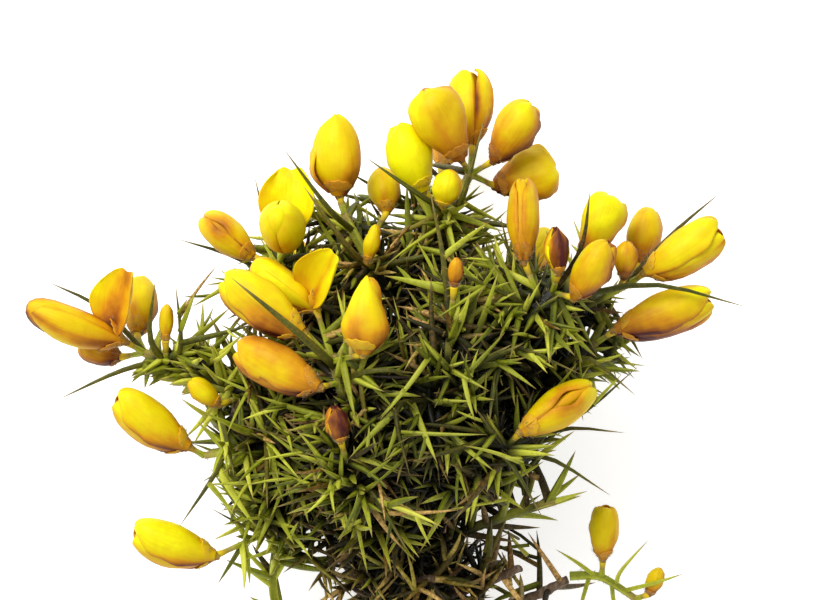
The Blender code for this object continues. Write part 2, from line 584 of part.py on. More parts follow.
def thorn_mesh(name, points, radius):
    """A three-sided thorn. One with a bend has its first leg's end face drawn out to the point."""
    root, end = to_metres(points[0]), to_metres(points[1])
    bent = len(points) == 3
    bm = bmesh.new()
    bmesh.ops.create_cone(bm, cap_ends=True, segments=3, radius1=radius * MM,
                          radius2=radius * SHANK_TAPER * MM if bent else 0.0,
                          depth=(end - root).length)
    turn = Vector((0, 0, 1)).rotation_difference(end - root).to_matrix().to_4x4()
    seat = Matrix.Translation((root + end) / 2) @ turn
    bmesh.ops.transform(bm, matrix=seat, verts=bm.verts)
    if bent:
        face = min(bm.faces, key=lambda face: (face.calc_center_median() - end).length)
        bmesh.ops.poke(bm, faces=[face])["verts"][0].co = to_metres(points[2])
    return mesh_of(bm, name)


def swell(u):
    """Girth of a folded flower along its length, as a share of its widest."""
    return 0.34 + 0.66 * math.sin(math.pi * u**0.85) ** 0.8


def hood_point(flower, length, u, v):
    """The standard petal folded over the flower: u from base to tip, v from edge to edge."""
    girth = swell(u)
    angle = v * HOOD_WRAP
    x = 0.5 * flower.width * girth * math.sin(angle)
    y = length * u * (1.0 - 0.1 * v * v)
    z = 0.5 * flower.depth * girth * math.cos(angle)
    return x, y, z


def standard_point(flower, length, u, v):
    """The standard petal of an open flower: it rises from the base and its sides curl forward."""
    arc = 0.51 * flower.spread * math.sin(math.pi * (0.1 + 0.78 * u)) ** 0.7
    reach = 0.84 * flower.tall * length * u * (1.0 - 0.1 * v * v)
    curl = arc * (1.0 - math.cos(STANDARD_FOLD * v))
    across = arc * math.sin(STANDARD_FOLD * v)
    ahead = reach * math.cos(STANDARD_LIFT) + curl * math.sin(STANDARD_LIFT)
    turn = math.radians(flower.turn)
    x = across * math.cos(turn) - ahead * math.sin(turn)
    y = 0.1 * length + across * math.sin(turn) + ahead * math.cos(turn)
    z = 0.06 * length + reach * math.sin(STANDARD_LIFT) - curl * math.cos(STANDARD_LIFT)
    return x, y, z


def flower_matrix(flower):
    length, side, forward, dorsal = flower_frame(flower)
    matrix = Matrix((side, forward, dorsal)).transposed().to_4x4()
    return length, Matrix.Translation(to_metres(flower.base)) @ matrix @ Matrix.Scale(MM, 4)


def petal_sheet(name, rows, columns, place):
    """An open sheet of triangles, each point placed by a formula."""
    bm = bmesh.new()
    bmesh.ops.create_grid(bm, x_segments=columns, y_segments=rows, size=1.0)
    for vert in bm.verts:
        vert.co = place(0.5 * (vert.co.y + 1.0), vert.co.x)
    bmesh.ops.triangulate(bm, faces=bm.faces)
    return mesh_of(bm, name)


def pod_mesh(name, matrix, centre, half, around, along):
    """A closed pod: a ball drawn out along the flower."""
    bm = bmesh.new()
    bmesh.ops.create_uvsphere(bm, u_segments=around, v_segments=along, radius=1.0)
    lie_down = Matrix.Rotation(math.radians(-90), 4, "X")
    drawn_out = Matrix.Translation(centre) @ Matrix.Diagonal((*half, 1.0)) @ lie_down
    bmesh.ops.transform(bm, matrix=matrix @ drawn_out, verts=bm.verts)
    return mesh_of(bm, name)


def calyx_path(flower, foot):
    """The stalk, which widens into the calyx cup round the base of the petals."""
    length, _, forward, _ = flower_frame(flower)
    base = np.array(flower.base, float)
    girth = 0.25 * (flower.width + flower.depth)
    path = [foot, base - 0.02 * length * forward, base + 0.07 * length * forward,
            base + 0.2 * length * forward]
    return path, (STALK_RADIUS, 0.42 * girth, 0.82 * girth, 0.86 * girth)


def thickened(obj, thickness):
    shell = obj.modifiers.new("Thickness", "SOLIDIFY")
    shell.thickness = thickness
    shell.offset = -1.0


def fuse(obj, pieces):
    """Join the pieces to the object as one solid, and remove them."""
    union = obj.modifiers.new("Fused", "BOOLEAN")
    union.operation = "UNION"
    union.operand_type = "COLLECTION"
    union.collection = pieces
    union.solver = "MANIFOLD"
    graph = bpy.context.evaluated_depsgraph_get()
    solid = bpy.data.meshes.new_from_object(obj.evaluated_get(graph))
    old = obj.data
    obj.modifiers.clear()
    obj.data = solid
    bpy.data.meshes.remove(old)
    for piece in list(pieces.objects):
        mesh = piece.data
        bpy.data.objects.remove(piece)
        bpy.data.meshes.remove(mesh)
    bpy.data.collections.remove(pieces)


def rest_flat(obj):
    """Cut off what lies below the table, which leaves the small flat spot that the sprig rests on."""
    bm = bmesh.new()
    bm.from_mesh(obj.data)
    everything = list(bm.verts) + list(bm.edges) + list(bm.faces)
    bmesh.ops.bisect_plane(bm, geom=everything, plane_co=(0, 0, TABLE * MM), plane_no=(0, 0, -1),
                           clear_outer=True)
    rim = [edge for edge in bm.edges if edge.is_boundary]
    bmesh.ops.holes_fill(bm, edges=rim)
    bmesh.ops.triangulate(bm, faces=bm.faces)
    bm.to_mesh(obj.data)
    bm.free()


def gather(name):
    pieces = bpy.data.collections.new(name + "_pieces")
    bpy.context.scene.collection.children.link(pieces)
    return pieces


def build_stems(owner, layout, material, collection):
    """A stem with its forks, twigs and thorns, fused to one solid."""
    pieces = gather(owner)
    stems, rings = layout.stems[owner], 0
    if owner == "woody_stem":
        stems, rings = [domed(*stem) for stem in stems], 1
    obj = new_object(owner, stem_mesh(owner, *stems[0], rings), collection)
    for stem in stems[1:]:
        new_object("fork", stem_mesh("fork", *stem, rings), pieces)
    for path in layout.twigs.get(owner, []):
        new_object("twig", stem_mesh("twig", path, (TWIG_RADIUS, STALK_RADIUS), 0), pieces)
    for points, radius in layout.thorns[owner]:
        new_object("thorn", thorn_mesh("thorn", points, radius), pieces)
    fuse(obj, pieces)
    rest_flat(obj)
    obj.data.materials.append(material)


def build_flower(flower, layout, material, collection):
    """Petals, calyx and stalk of one flower, fused to one solid."""
    pieces = gather(flower.name)
    length, matrix = flower_matrix(flower)
    width, depth = 0.5 * flower.width, 0.5 * flower.depth
    if flower.kind in ("bud", "spent"):
        body = pod_mesh("petals", matrix, (0, 0.5 * length, 0), (width, 0.52 * length, depth), 5, 4)
        obj = new_object(flower.name, body, collection)
    else:
        keel = ((0, 0.5 * length, -0.3 * depth), (0.56 * width, 0.46 * length, 0.74 * depth))
        outline = hood_point
        if flower.kind == "open":
            keel = ((0, 0.52 * length, 0), (0.74 * width, 0.5 * length, 0.62 * depth))
            outline = standard_point
        new_object("keel", pod_mesh("keel", matrix, *keel, 5, 3), pieces)
        sheet = petal_sheet("standard", 3, 4,
                            lambda u, v: matrix @ Vector(outline(flower, length, u, v)))
        obj = new_object(flower.name, sheet, collection)
        thickened(obj, PETAL_THICKNESS * MM)
    path, radii = calyx_path(flower, layout.feet[flower.name])
    new_object("calyx", stem_mesh("calyx", path, radii, 0), pieces)
    fuse(obj, pieces)
    rest_flat(obj)
    obj.data.materials.append(material)


def main():
    for obj in list(bpy.data.objects):
        bpy.data.objects.remove(obj)
    sprig = bpy.data.collections.new("gorse_sprig")
    bpy.context.scene.collection.children.link(sprig)
    petal = plain_material("petal_yellow", PETAL_COLOUR, 0.5)
    spent = plain_material("petal_spent", SPENT_COLOUR, 0.7)
    green = plain_material("shoot_green", SHOOT_COLOUR, 0.5)
    brown = plain_material("wood_brown", WOOD_COLOUR, 0.8)
    layout = Layout()
    build_stems("woody_stem", layout, brown, sprig)
    for stem in SHOOTS:
        build_stems("shoot_" + stem.name, layout, green, sprig)
    for flower in FLOWERS:
        build_flower(flower, layout, spent if flower.kind == "spent" else petal, sprig)


main()
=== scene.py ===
"""Petals, spines, bark and stage for a cut gorse sprig that lies on its back.

The plan is the part's own: millimetres, seen from above, X to the right, Y towards the head's top,
Z up from the table. Every piece is shaped in that plan and brought to metres last.
"""

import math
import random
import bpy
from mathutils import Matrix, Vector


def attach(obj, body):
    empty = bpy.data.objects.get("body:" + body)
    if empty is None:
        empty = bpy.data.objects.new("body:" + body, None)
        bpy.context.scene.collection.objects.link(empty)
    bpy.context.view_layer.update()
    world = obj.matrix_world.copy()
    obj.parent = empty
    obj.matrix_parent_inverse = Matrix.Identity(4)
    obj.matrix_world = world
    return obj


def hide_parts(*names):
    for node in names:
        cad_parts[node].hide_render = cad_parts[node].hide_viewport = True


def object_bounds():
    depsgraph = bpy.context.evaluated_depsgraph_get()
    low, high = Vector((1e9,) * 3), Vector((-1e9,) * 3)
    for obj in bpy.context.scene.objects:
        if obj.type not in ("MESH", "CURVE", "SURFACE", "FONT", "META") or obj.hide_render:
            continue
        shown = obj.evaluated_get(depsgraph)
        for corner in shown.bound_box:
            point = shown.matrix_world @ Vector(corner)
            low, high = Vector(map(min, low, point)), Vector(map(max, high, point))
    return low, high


bl_info = {
    "name": "Gorse Sprig",
    "version": (1, 0, 0),
    "blender": (4, 5, 0),
    "location": "View3D > Sidebar > Gorse",
    "description": "Builds the petals, spines, wood and stage of a cut gorse sprig",
    "category": "Object",
}

from collections import namedtuple
from functools import cache
from itertools import product

import bmesh
import bpy
import numpy as np
from bpy.props import FloatProperty, FloatVectorProperty, IntProperty, PointerProperty
from mathutils import Matrix, Vector, noise

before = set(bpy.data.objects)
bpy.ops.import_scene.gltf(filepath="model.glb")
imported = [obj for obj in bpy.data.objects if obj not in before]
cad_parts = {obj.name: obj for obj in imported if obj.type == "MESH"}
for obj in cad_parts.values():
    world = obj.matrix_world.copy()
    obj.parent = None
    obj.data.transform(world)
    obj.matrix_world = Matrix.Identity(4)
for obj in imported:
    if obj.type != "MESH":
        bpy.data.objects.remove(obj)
CAD_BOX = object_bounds()

MM = 0.001
SMALL, TINY = 1e-6, 1e-9  # least divisors
EASE = 0.0002  # metres over which a piece is eased back at the sides of the solids' box
CENTRE = (-7.1, -20.2)  # the plan's point that lands on the object's origin
SEED = 11

GAP = 0.35  # least gap between a thorn and any other piece
MEET = 0.3  # gap where one solid ends against another
STALK_LENGTH = 3.0
STALK_RADIUS = 0.6
TWIG_RADIUS = 0.75
SEAT_BACK, SEAT_STEP, RIM_SPOTS = 2.0, 0.1, 12  # how a shoot's end is moved until it clears the wood
UPWARD = (0.31, 0.2, 0.93)  # no stem runs along it, so it always gives a sideways direction

SIDE_THORN_SHARE = 0.18
SIDE_THORN_LENGTH = (5.0, 7.5)
SIDE_THORN_RADIUS = 0.62
SIDE_THORN_LEAN = (38.0, 60.0)
SIDE_THORN_START = (0.25, 0.45)
SIDE_THORN_OUTWARD = 0.3
SHANK_TAPER = 0.74
POINT_RADIUS = 0.05
TIP_THORN_LENGTH = 7.0
GOLDEN_ANGLE = math.radians(137.5)
FREE_SHARE = 0.3  # from here outward a thorn keeps clear of the others on its own stem
FREE_GIRTH = 0.7
FREE_GAP = 0.1
VIEW_MARGIN = 0.4
VIEW_SHARES = (0.4, 0.7, 1.0)  # places along a thorn that may not hide a flower
HEAD_MIDDLE = np.array((-3.0, -15.0, 37.0))
HEAD_REACH = np.array((46.0, 43.0, 35.5))
LOWEST_THORN = 1.6

BODY_GIRTHS = ((-0.05, 0.45), (0.25, 0.95), (0.7, 0.95), (1.0, 0.45))  # along, share of the girth
BODY_ROOM = 0.15
STANDARD_LIFT = math.radians(78.0)
STANDARD_FOLD = math.radians(78.0)
STANDARD_ROOT, STANDARD_TOP = 0.12, 0.78  # shares of the flower's length
STANDARD_SIDES, STANDARD_RADII = (-0.32, 0.0, 0.32), (1.5, 2.0)

LOWEST_SPINE, HIGHEST_SPINE = 0.8, 70.5
GIRTHS = (0.8, 1.2)  # how the finer spines' radii vary
DEAD_GIRTH = 0.85  # a dead spine's radius as a share of a green one's
LEAST_GIRTH = 0.5  # a spine thinner than this share of the usual isn't grown
FLOWER_GAP = 0.3
SPINE_TAPER = 0.8  # what a finer spine loses of its radius towards its point
FILL_REACH, SIDE_REACH = 1.05, 1.07  # shares of the head's reach that spines stay inside
INNER_REACH, INNER_SIDE_REACH, INNER_ROOTS = 0.84, 0.88, 0.8
SKIRT_ALONG = (-80.0, -62.0, -38.0)
SKIRT_HALF = (7.0, 18.0, 22.0)
SKIRT_MIDDLE, SKIRT_TOP = -2.0, 42.0
CLEAR_AWAY, CLEAR_FROM = np.array((0.646, -0.763)), 40.0  # no finer spines past it, at lower right
FAR_LEFT = (np.array((-52.0, -12.0, 38.0)), np.array((12.0, 8.0, 9.0)))  # middle and reach
CROWN = (np.array((7.0, 13.5, 39.0)), np.array((27.0, 10.0, 14.0)))
CROWN_SHOOTS = ("shoot_top", "shoot_top_left", "shoot_upper_right", "shoot_right")
LEFT_EDGE = (np.array((-34.0, -44.0, 30.0)), np.array((13.0, 17.0, 16.0)))
LEFT_EDGE_SHOOTS = ("shoot_lower_left", "shoot_left")

POD_BLUNT = 0.6  # below 1, a pod's tip fills the mouth of its flower
DEEPEST = 1.4  # a petal's two faces are at most this many times its thickness apart

SPINE_GIRTH, SPINE_FULLNESS, SPINE_END = 0.92, 2.3, 0.03  # a spine's radii from root to point
NUDGE = np.array((1e-4, 0, 0))  # keeps a spine that stands along UPWARD from having no side
HAIR_RADII, SHOOT_HAIR_RADII = (0.05, 0.015), (0.05, 0.02)

CELL = 2.5  # side of the cells in which light is reckoned
ROD_SPOTS = np.linspace(0.05, 0.95, 6)[:, None]  # places along a rod that stand for all of it
THICKNESS_SEEN = 0.8  # share of a rod's width that stands in the light's way, over all its turns
LEAST_SKY = 0.35  # light from a side that is away from the key light
OPEN_AIR = 0.5  # filling and side spines end where at least this much light comes in
# Painted light and shade on the spines: black where little light comes in, lighter on the sunny side,
# darker round the dusk's middle
GLOOM, BRIGHT = 0.06, 0.265  # light at which spines are black, and in their full colour
SUNNY_SIDE, SUNNY_SHARE = np.array((-0.8, 0.4, 0.2)), 0.36
DUSK_MIDDLE, DUSK_REACH = np.array((1.0, -22.0, 55.0)), np.array((16.0, 15.0, 26.0))
DUSK_SHARE = 0.5  # how much darker the spines are at the middle of the dusk
BROWN_BELOW, BROWN_INSIDE = (-36, -54), (0.66, 0.3)  # from where spines turn brown, to all brown
BROWN_FROM_LEFT, BROWN_FROM_RIGHT = (-26, -14), (34, 24)
BROWN_LOW_SHARE, BROWN_INSIDE_SHARE = 0.75, 0.9
LONG_THORN = 17.0
ROOT_GIRTH = 1.3  # a filling spine is at most this many times as thick as what it grows on

VEINS_ACROSS, VEINS_ALONG = 15, 2.2  # noise cells across and along a petal
RINGS_PER_METRE = 15000.0  # radians of the cut end's rings

CAMERA_HEIGHT, CAMERA_NEAR = 900.0, 0.01
KEY_DISTANCE = 1.2
FLOOR_HALF, FLOOR_SQUARES, FLOOR_DROP = 3.0, 8, 0.0001
LIGHT_SIDE = np.array((-0.36, 0.48, 0.8))

# Thorns stand every step millimetres over a span of their stem. Each leans some degrees from it,
# less by closing at its tip, and is turned and shrunk a few times until it finds room.
Growing = namedtuple("Growing", "step start span radius length lean closing tries turn shrink")
GREEN_THORNS = Growing(step=2.7, start=0.1, span=0.88, radius=0.95, length=(10.0, 16.5),
                       lean=(50.0, 78.0), closing=18.0, tries=7, turn=math.radians(51), shrink=0.93)
DEAD_THORNS = Growing(step=2.9, start=0.16, span=0.82, radius=0.75, length=(8.0, 15.0),
                      lean=(60.0, 95.0), closing=0.0, tries=5, turn=math.radians(67), shrink=0.85)

Stem = namedtuple("Stem", "name points radii")
# A raised standard petal is spread millimetres wide, turned about its foot in degrees, and tall as
# a share of the usual height.
Flower = namedtuple("Flower", "name kind shoot base tip dorsal width depth spread turn tall",
                    defaults=(0.0, 0.0, 1.0))
Thorn = namedtuple("Thorn", "shoot points radius")
Rod = namedtuple("Rod", "path radii tint age", defaults=(0.5, 0.0))
Sprout = namedtuple("Sprout", "share lean length")
Tube = namedtuple("Tube", "sides rings groove")
Pod = namedtuple("Pod", "middle sunk wide long deep inner", defaults=(0.0,))
# A look's shade is painted shade: orange added on the side of a petal that faces away from the key light.
Look = namedtuple(
    "Look", "tint base edge mid shade wrap slit gape peak blunt taper end notch spread fan reach skew"
    " bend inner crumple patches",
    defaults=(0.27, 0.3, 0.14, 0.1, 0.42, 122, 0, 5, 0.52, 2.1, 0.5, 0.08, 0.03, 1.0, (112, 54),
              0.94, 0, 0.06, -0.05, 1.0, ()))

WOOD = [Stem(*row) for row in (
    ("main", [(-4, -86, 1.7), (-5, -70, 9), (-6, -55, 19), (-5, -40, 29), (-4, -25, 35), (-3, -8, 37),
     (-2, 6, 37)], (2.6, 1.5)),
    ("left_fork", [(-5, -42, 28), (-13, -33, 33), (-22, -23, 36)], (1.7, 1.2)),
    ("right_fork", [(-4, -34, 31), (7, -24, 36), (17, -12, 38)], (1.7, 1.2)),
    ("low_fork", [(-5, -68, 10), (8, -66, 15), (22, -61, 20), (30, -57, 22)], (1.3, 0.9)),
    ("tangle_right", [(-5.7, -60, 15.7), (3, -60.5, 20), (12, -58, 26), (20, -54, 31)], (1.1, 0.8)),
    ("tangle_front", [(-5.9, -56.5, 18), (-3, -56.5, 27), (3, -56, 35)], (1.1, 0.8)),
    ("tangle_left", [(-5.6, -61.5, 14.8), (-12, -57, 21), (-17, -51, 26), (-19, -46, 30)], (1.1, 0.8)),
    ("tangle_low", [(-4.9, -71, 8.4), (-5.4, -69.5, 19), (-3.5, -66, 31)], (1.1, 0.8)),
)]

SHOOTS = [Stem(*row) for row in (
    ("far_left", [(-23.5, -21.7, 36.6), (-34, -18.5, 39.5), (-46, -15, 40), (-55, -10.5, 39.5)],
     (1.2, 0.9)),
    ("left", [(-16, -31.5, 35), (-26, -29, 39), (-37, -30, 41), (-43, -31, 41.5)], (1.2, 0.8)),
    ("lower_left", [(-7.5, -75, 8.5), (-18, -74, 11), (-28, -66, 15), (-30, -56, 21), (-28.5, -46, 28),
     (-30, -37, 34)], (1.2, 0.9)),
    ("upper_left", [(-5.5, -21, 37.5), (-16, -12, 40), (-24, 0, 40.5), (-28.5, 7, 40)], (1.3, 0.8)),
    ("front_left", [(-6, -33, 35), (-11, -27, 47), (-14.5, -20, 56), (-17, -12, 60)], (1.3, 0.9)),
    ("top_left", [(-4.5, -2, 38.5), (-9, 6, 43), (-13, 13, 44), (-15, 17, 43)], (1.2, 0.8)),
    ("top", [(-1.5, 8, 38.5), (3, 14, 42), (7, 20, 44), (10, 25, 43)], (1.2, 0.9)),
    ("upper_right", [(-1, -18, 38.5), (12, -10, 48), (21, -3, 53), (26, 1.5, 53.5)], (1.3, 0.9)),
    ("right", [(18.8, -11, 38.3), (28, -4, 41), (37, 1, 42.5), (42, 3.5, 42.5)], (1.2, 0.8)),
    ("right_low", [(2.8, -30.6, 36.4), (14, -24, 42), (26, -15, 44), (35, -8.5, 44)], (1.2, 0.8)),
    ("front_middle", [(-3.5, -37, 32.5), (3, -29, 46), (5, -17, 57), (6, -4, 62)], (1.3, 0.9)),
    ("lower_right", [(-3, -45, 27.5), (7, -38, 40), (14.5, -31.5, 50), (17, -28.8, 53.5)], (1.3, 0.9)),
    ("lower_front", [(-6.5, -50.5, 24.5), (-9, -45, 37), (-12, -38, 48), (-13.5, -34, 54)], (1.3, 0.9)),
    ("low_side", [(-3.2, -52, 21.5), (8, -47, 30), (18, -43, 37), (27, -40, 41)], (1.2, 0.9)),
    ("branch_right", [(31.2, -56.2, 22.2), (37, -56.5, 22), (44, -61, 20.5)], (0.95, 0.7)),
    ("back_left", [(-6, -29, 31.5), (-14, -18, 20), (-18, -9, 14), (-20, -3, 13)], (1.3, 0.9)),
    ("back_right", [(-2, -20, 33.5), (9, -10, 21), (15, -4, 15), (17.6, -1, 14)], (1.3, 0.9)),
    ("back_top", [(-2.2, -1, 35), (0, 8, 25), (2, 17, 21), (4, 24, 20)], (1.2, 0.8)),
    ("back_low_left", [(-7.5, -44.5, 25), (-17, -38, 19), (-27, -33, 17), (-35, -28, 18)], (1.2, 0.9)),
    ("back_low_right", [(-3.5, -42.5, 26), (8, -37, 18), (20, -31, 15), (28, -25, 17)], (1.2, 0.9)),
)]

FLOWERS = [Flower(*row) for row in (
    ("bloom_far_left", "open", "far_left", (-59, -8.2, 42), (-78.4, -1.6, 46.5), (0.3, 1, 0.1), 7.6, 8.4,
     10.6, 42.0, 0.76),
    ("bloom_far_left_behind", "closed", "far_left", (-57, -6.8, 34), (-56, 3.6, 25), (-0.2, 0.5, 0.6), 7,
     8),
    ("bud_far_left_low", "bud", "far_left", (-60, -11.5, 35), (-69, -10, 32.5), (0, 1, 0.2), 5.2, 5.6),
    ("bud_far_left_thin", "bud", "far_left", (-50.6, -8, 43.4), (-50.2, -0.6, 44.8), (0, -0.2, 1), 3, 3),
    ("bloom_left", "closed", "left", (-46, -29.2, 43), (-61.6, -20.6, 45), (0.45, 0.75, 0.5), 8, 9),
    ("bloom_lower_left", "closed", "lower_left", (-41.2, -51.4, 35), (-58.2, -48, 37), (0, 0.85, 0.5), 8,
     9),
    ("bud_left", "bud", "far_left", (-39.8, -20.8, 45), (-46, -16, 47), (0.3, 0.4, 0.8), 4.4, 4.4),
    ("bloom_upper_left", "closed", "upper_left", (-33.4, 8.6, 40), (-43.6, 17, 39.5), (-0.1, -0.1, -1), 7.2,
     7.6),
    ("bloom_upper_left_open", "open", "upper_left", (-25.6, 12, 43), (-28.4, 16.4, 58), (0.05, 1, -0.2),
     7.6, 8.4, 11.6),
    ("bloom_top_left", "closed", "top_left", (-16, 20.8, 43), (-16.4, 37.4, 44), (-0.2, 0, 1), 9.6, 8.6),
    ("bloom_bright", "closed", "top", (0.6, 21.6, 47), (-5, 35, 49), (0.4, 0.2, 0.9), 9.2, 8.4),
    ("bloom_crown_left", "closed", "top", (8, 28, 49), (0.4, 42, 53), (0, 0, 1), 10.6, 8.8),
    ("bloom_crown_tip", "closed", "top", (10.4, 31, 39), (9, 46.4, 37), (1, 0, 0.4), 8, 8.8),
    ("bloom_crown_right", "closed", "top", (14.6, 27.6, 46), (23, 38.8, 48), (-0.5, 0.4, 0.8), 8, 8.6),
    ("bloom_crown_broad", "closed", "top", (15, 22.8, 37.5), (27.6, 26.4, 36), (0.1, 0.1, 1), 10.4, 8),
    ("bud_crown", "bud", "top", (4.4, 18.6, 53), (6.2, 25.6, 56), (0, 0, 1), 6, 5.4),
    ("bloom_pale", "closed", "top_left", (-6.6, 17.6, 37), (-7.8, 26.4, 34), (0, 0, 1), 6.6, 6.6),
    ("bloom_orange", "closed", "upper_right", (20.4, 7.6, 55), (20.2, 24.4, 52), (0.2, 0, -1), 6.6, 7.4),
    ("bloom_spent_maroon", "spent", "upper_right", (27, 5.2, 59), (26.2, 14.6, 60.5), (0.3, 0, 1), 4.6,
     4.8),
    ("bloom_upper_right", "closed", "upper_right", (32.4, 8.4, 50), (38.6, 20.4, 49), (-0.4, 0.2, 0.9), 8,
     8.6),
    ("bloom_upper_right_low", "closed", "upper_right", (30.2, 0.4, 57.5), (37.6, 11.4, 61),
     (-0.5, 0.3, 0.8), 7, 7.6),
    ("bud_right", "bud", "right", (40.2, 4.4, 50.5), (40.8, 11.8, 52), (0, 0, 1), 4.8, 5),
    ("bloom_right_behind", "closed", "right", (43.4, 7.4, 39), (46.6, 18.2, 36), (-0.4, 0.2, 0.9), 6.8,
     7.4),
    ("bloom_right", "closed", "right", (44.6, 5.4, 47.5), (60.6, 12.6, 49), (-0.3, 0.9, 0.3), 7.6, 8.4),
    ("bloom_right_low", "closed", "right_low", (38.8, -6, 45), (58.8, -0.8, 44), (-0.2, 0.95, 0.3), 7.6,
     8.4),
    ("bloom_slit", "closed", "lower_right", (19.8, -25.8, 57), (34.4, -16.6, 55), (0.2, -0.1, -1), 7.8,
     8.4),
    ("bloom_front", "closed", "front_left", (-11, -10.4, 66.5), (-10, 5, 68.5), (-0.4, 0, 0.9), 9.8, 8.8),
    ("bloom_front_low", "closed", "front_left", (-19.6, -17, 62), (-36.6, -10.4, 57), (0.3, 0.9, 0.4), 7.8,
     8.6),
    ("bloom_pair_low", "closed", "front_left", (-23, -6.4, 60), (-39.4, 3.6, 57), (0.5, 0.8, 0.4), 8.4, 9),
    ("bloom_pair_open", "open", "front_left", (-20.4, -1.8, 51), (-33.4, 7.2, 50.6), (0.2, 0.9, 0.4), 7.6,
     8.4, 10.0, 62.0),
    ("bud_narrow", "bud", "top_left", (-10.4, 7.6, 53), (-8.4, 15, 55.5), (0, 0, 1), 3.4, 3.4),
    ("bloom_spent_brown", "spent", "lower_front", (-15.4, -27.4, 63), (-16.8, -20.4, 65.5), (0.3, 0, 1),
     4.4, 4.4),
    ("bloom_lower_right", "closed", "branch_right", (37.2, -52.6, 24), (37, -41.4, 26), (0.6, 0, 0.8), 5.6,
     6),
    ("bud_lower_right", "bud", "branch_right", (46.6, -60, 21.4), (49, -54.4, 22.6), (0, 0, 1), 3.6, 3.6),
    ("bud_middle", "bud", "front_middle", (6.6, 2.6, 66), (7.2, 8.4, 68), (0, 0, 1), 3, 3),
    ("bloom_back_left", "closed", "back_left", (-20.6, 3, 7.4), (-31, 13, 0.7), (0.2, 0.2, -1), 8, 8.4),
    ("bloom_back_right", "closed", "back_right", (18.4, 4.4, 7.7), (27.6, 14.4, 0.6), (-0.2, 0.2, -1), 8,
     8.4),
    ("bloom_back_top", "closed", "back_top", (4.4, 27.6, 17.5), (8.6, 39.4, 9.6), (0, 0.4, -1), 8, 8.4),
    ("bloom_back_low", "closed", "back_low_right", (4, -40, 10.5), (0, -54, 5.6), (0.2, 0.2, -1), 7.6, 8.2),
)]

LONG_THORNS = [Thorn(*row) for row in (
    ("front_left", [(-16.6, -13, 59.5), (-24, -6, 65.5), (-36.6, 4.4, 66)], 1.15),
    ("top_left", [(-13.6, 14, 44), (-18, 18, 52), (-27, 30, 53)], 0.85),
    ("top_left", [(-9.2, 6.4, 43.1), (-13.6, 9.6, 57), (-22.8, 22.4, 61)], 0.9),
    ("upper_left", [(-26, 3, 40.4), (-30, 12, 37), (-33.2, 25, 36)], 0.8),
    ("upper_left", [(-25.5, 2.5, 40.4), (-37, 8.6, 34), (-48.6, 12.2, 34)], 0.75),
    ("top", [(5.5, 17.6, 43.4), (0, 20.6, 53), (-10.6, 28, 54)], 0.75),
    ("top", [(6.8, 19.6, 44), (8.4, 20, 57), (12.6, 35.6, 58.5)], 0.9),
    ("front_middle", [(5.8, -6, 61.5), (4.6, 7.6, 62), (2, 21, 61)], 0.85),
    ("upper_right", [(26, 1.2, 53.4), (31.5, 10, 58), (33.2, 21.4, 59)], 0.8),
    ("right", [(41, 3.2, 42.5), (50, 13, 42), (59.6, 21.2, 42)], 0.7),
    ("upper_right", [(22, -2.2, 53.2), (44, 3.2, 51), (64.6, -1.4, 50)], 0.85),
    ("upper_right", [(22, -2, 53.2), (15, 2, 62), (4.4, 6.4, 64)], 0.7),
    ("far_left", [(-52, -12, 39.8), (-60.4, -14.4, 42), (-72, -19.8, 42)], 0.75),
    ("far_left", [(-54.6, -10.8, 39.6), (-64, -1.6, 35), (-74.6, 3.6, 35)], 0.75),
    ("far_left", [(-51, -12.5, 39.8), (-53.6, -7, 46), (-52.2, 4.2, 49)], 0.85),
    ("far_left", [(-49, -13.4, 40), (-47.4, -8, 45), (-48.4, 3.2, 47)], 0.75),
    ("right_low", [(24, -16.5, 44), (32, -11, 52), (42.2, -18.6, 53)], 0.85),
    ("lower_right", [(15.6, -30.4, 51.6), (28, -25.4, 51), (40.4, -26.2, 50)], 0.7),
    ("lower_right", [(14.5, -31.5, 50), (25, -31, 49), (37.6, -38.6, 48)], 0.8),
    ("lower_right", [(15, -31, 50.6), (31, -23.4, 46), (43.4, -13, 46)], 0.6),
    ("lower_right", [(13.5, -32.4, 48.6), (17, -31, 57), (24, -42.6, 57)], 0.85),
    ("lower_front", [(-12.6, -36.4, 50.5), (-9, -38, 57), (-2.4, -49.2, 57)], 0.85),
    ("left", [(-35, -29.9, 40.6), (-31, -25, 47), (-18.4, -17, 53)], 0.75),
    ("front_middle", [(4.6, -20, 54.6), (-4.6, -20.6, 64), (-2, -34, 64)], 0.8),
    ("left", [(-39, -30.3, 41.2), (-41, -35, 43), (-47.8, -45, 43)], 0.8),
    ("front_left", [(-15.6, -16, 58), (-9, -13.6, 66), (-0.4, -14.2, 65)], 0.8),
    ("front_middle", [(5.4, -13.4, 58.6), (7.6, -14.4, 64.6), (13.4, -17.6, 67)], 0.7),
    ("upper_right", [(13, -9.2, 48.8), (18, -8.6, 60), (31.6, -14.6, 60)], 0.8),
    ("branch_right", [(40, -57.8, 21.6), (41, -55, 22.5), (46.4, -48.8, 24)], 0.6),
    ("branch_right", [(36, -56.5, 22), (32, -53.4, 24), (27.6, -50.6, 26)], 0.6),
    ("branch_right", [(42, -59.2, 21), (48, -57.4, 24.5), (53.4, -55.6, 25)], 0.6),
    ("branch_right", [(34.5, -56.4, 22.1), (33, -61, 24), (32, -66, 25)], 0.6),
    ("branch_right", [(39, -57.4, 21.7), (40, -63, 20), (44, -68, 19)], 0.6),
)]

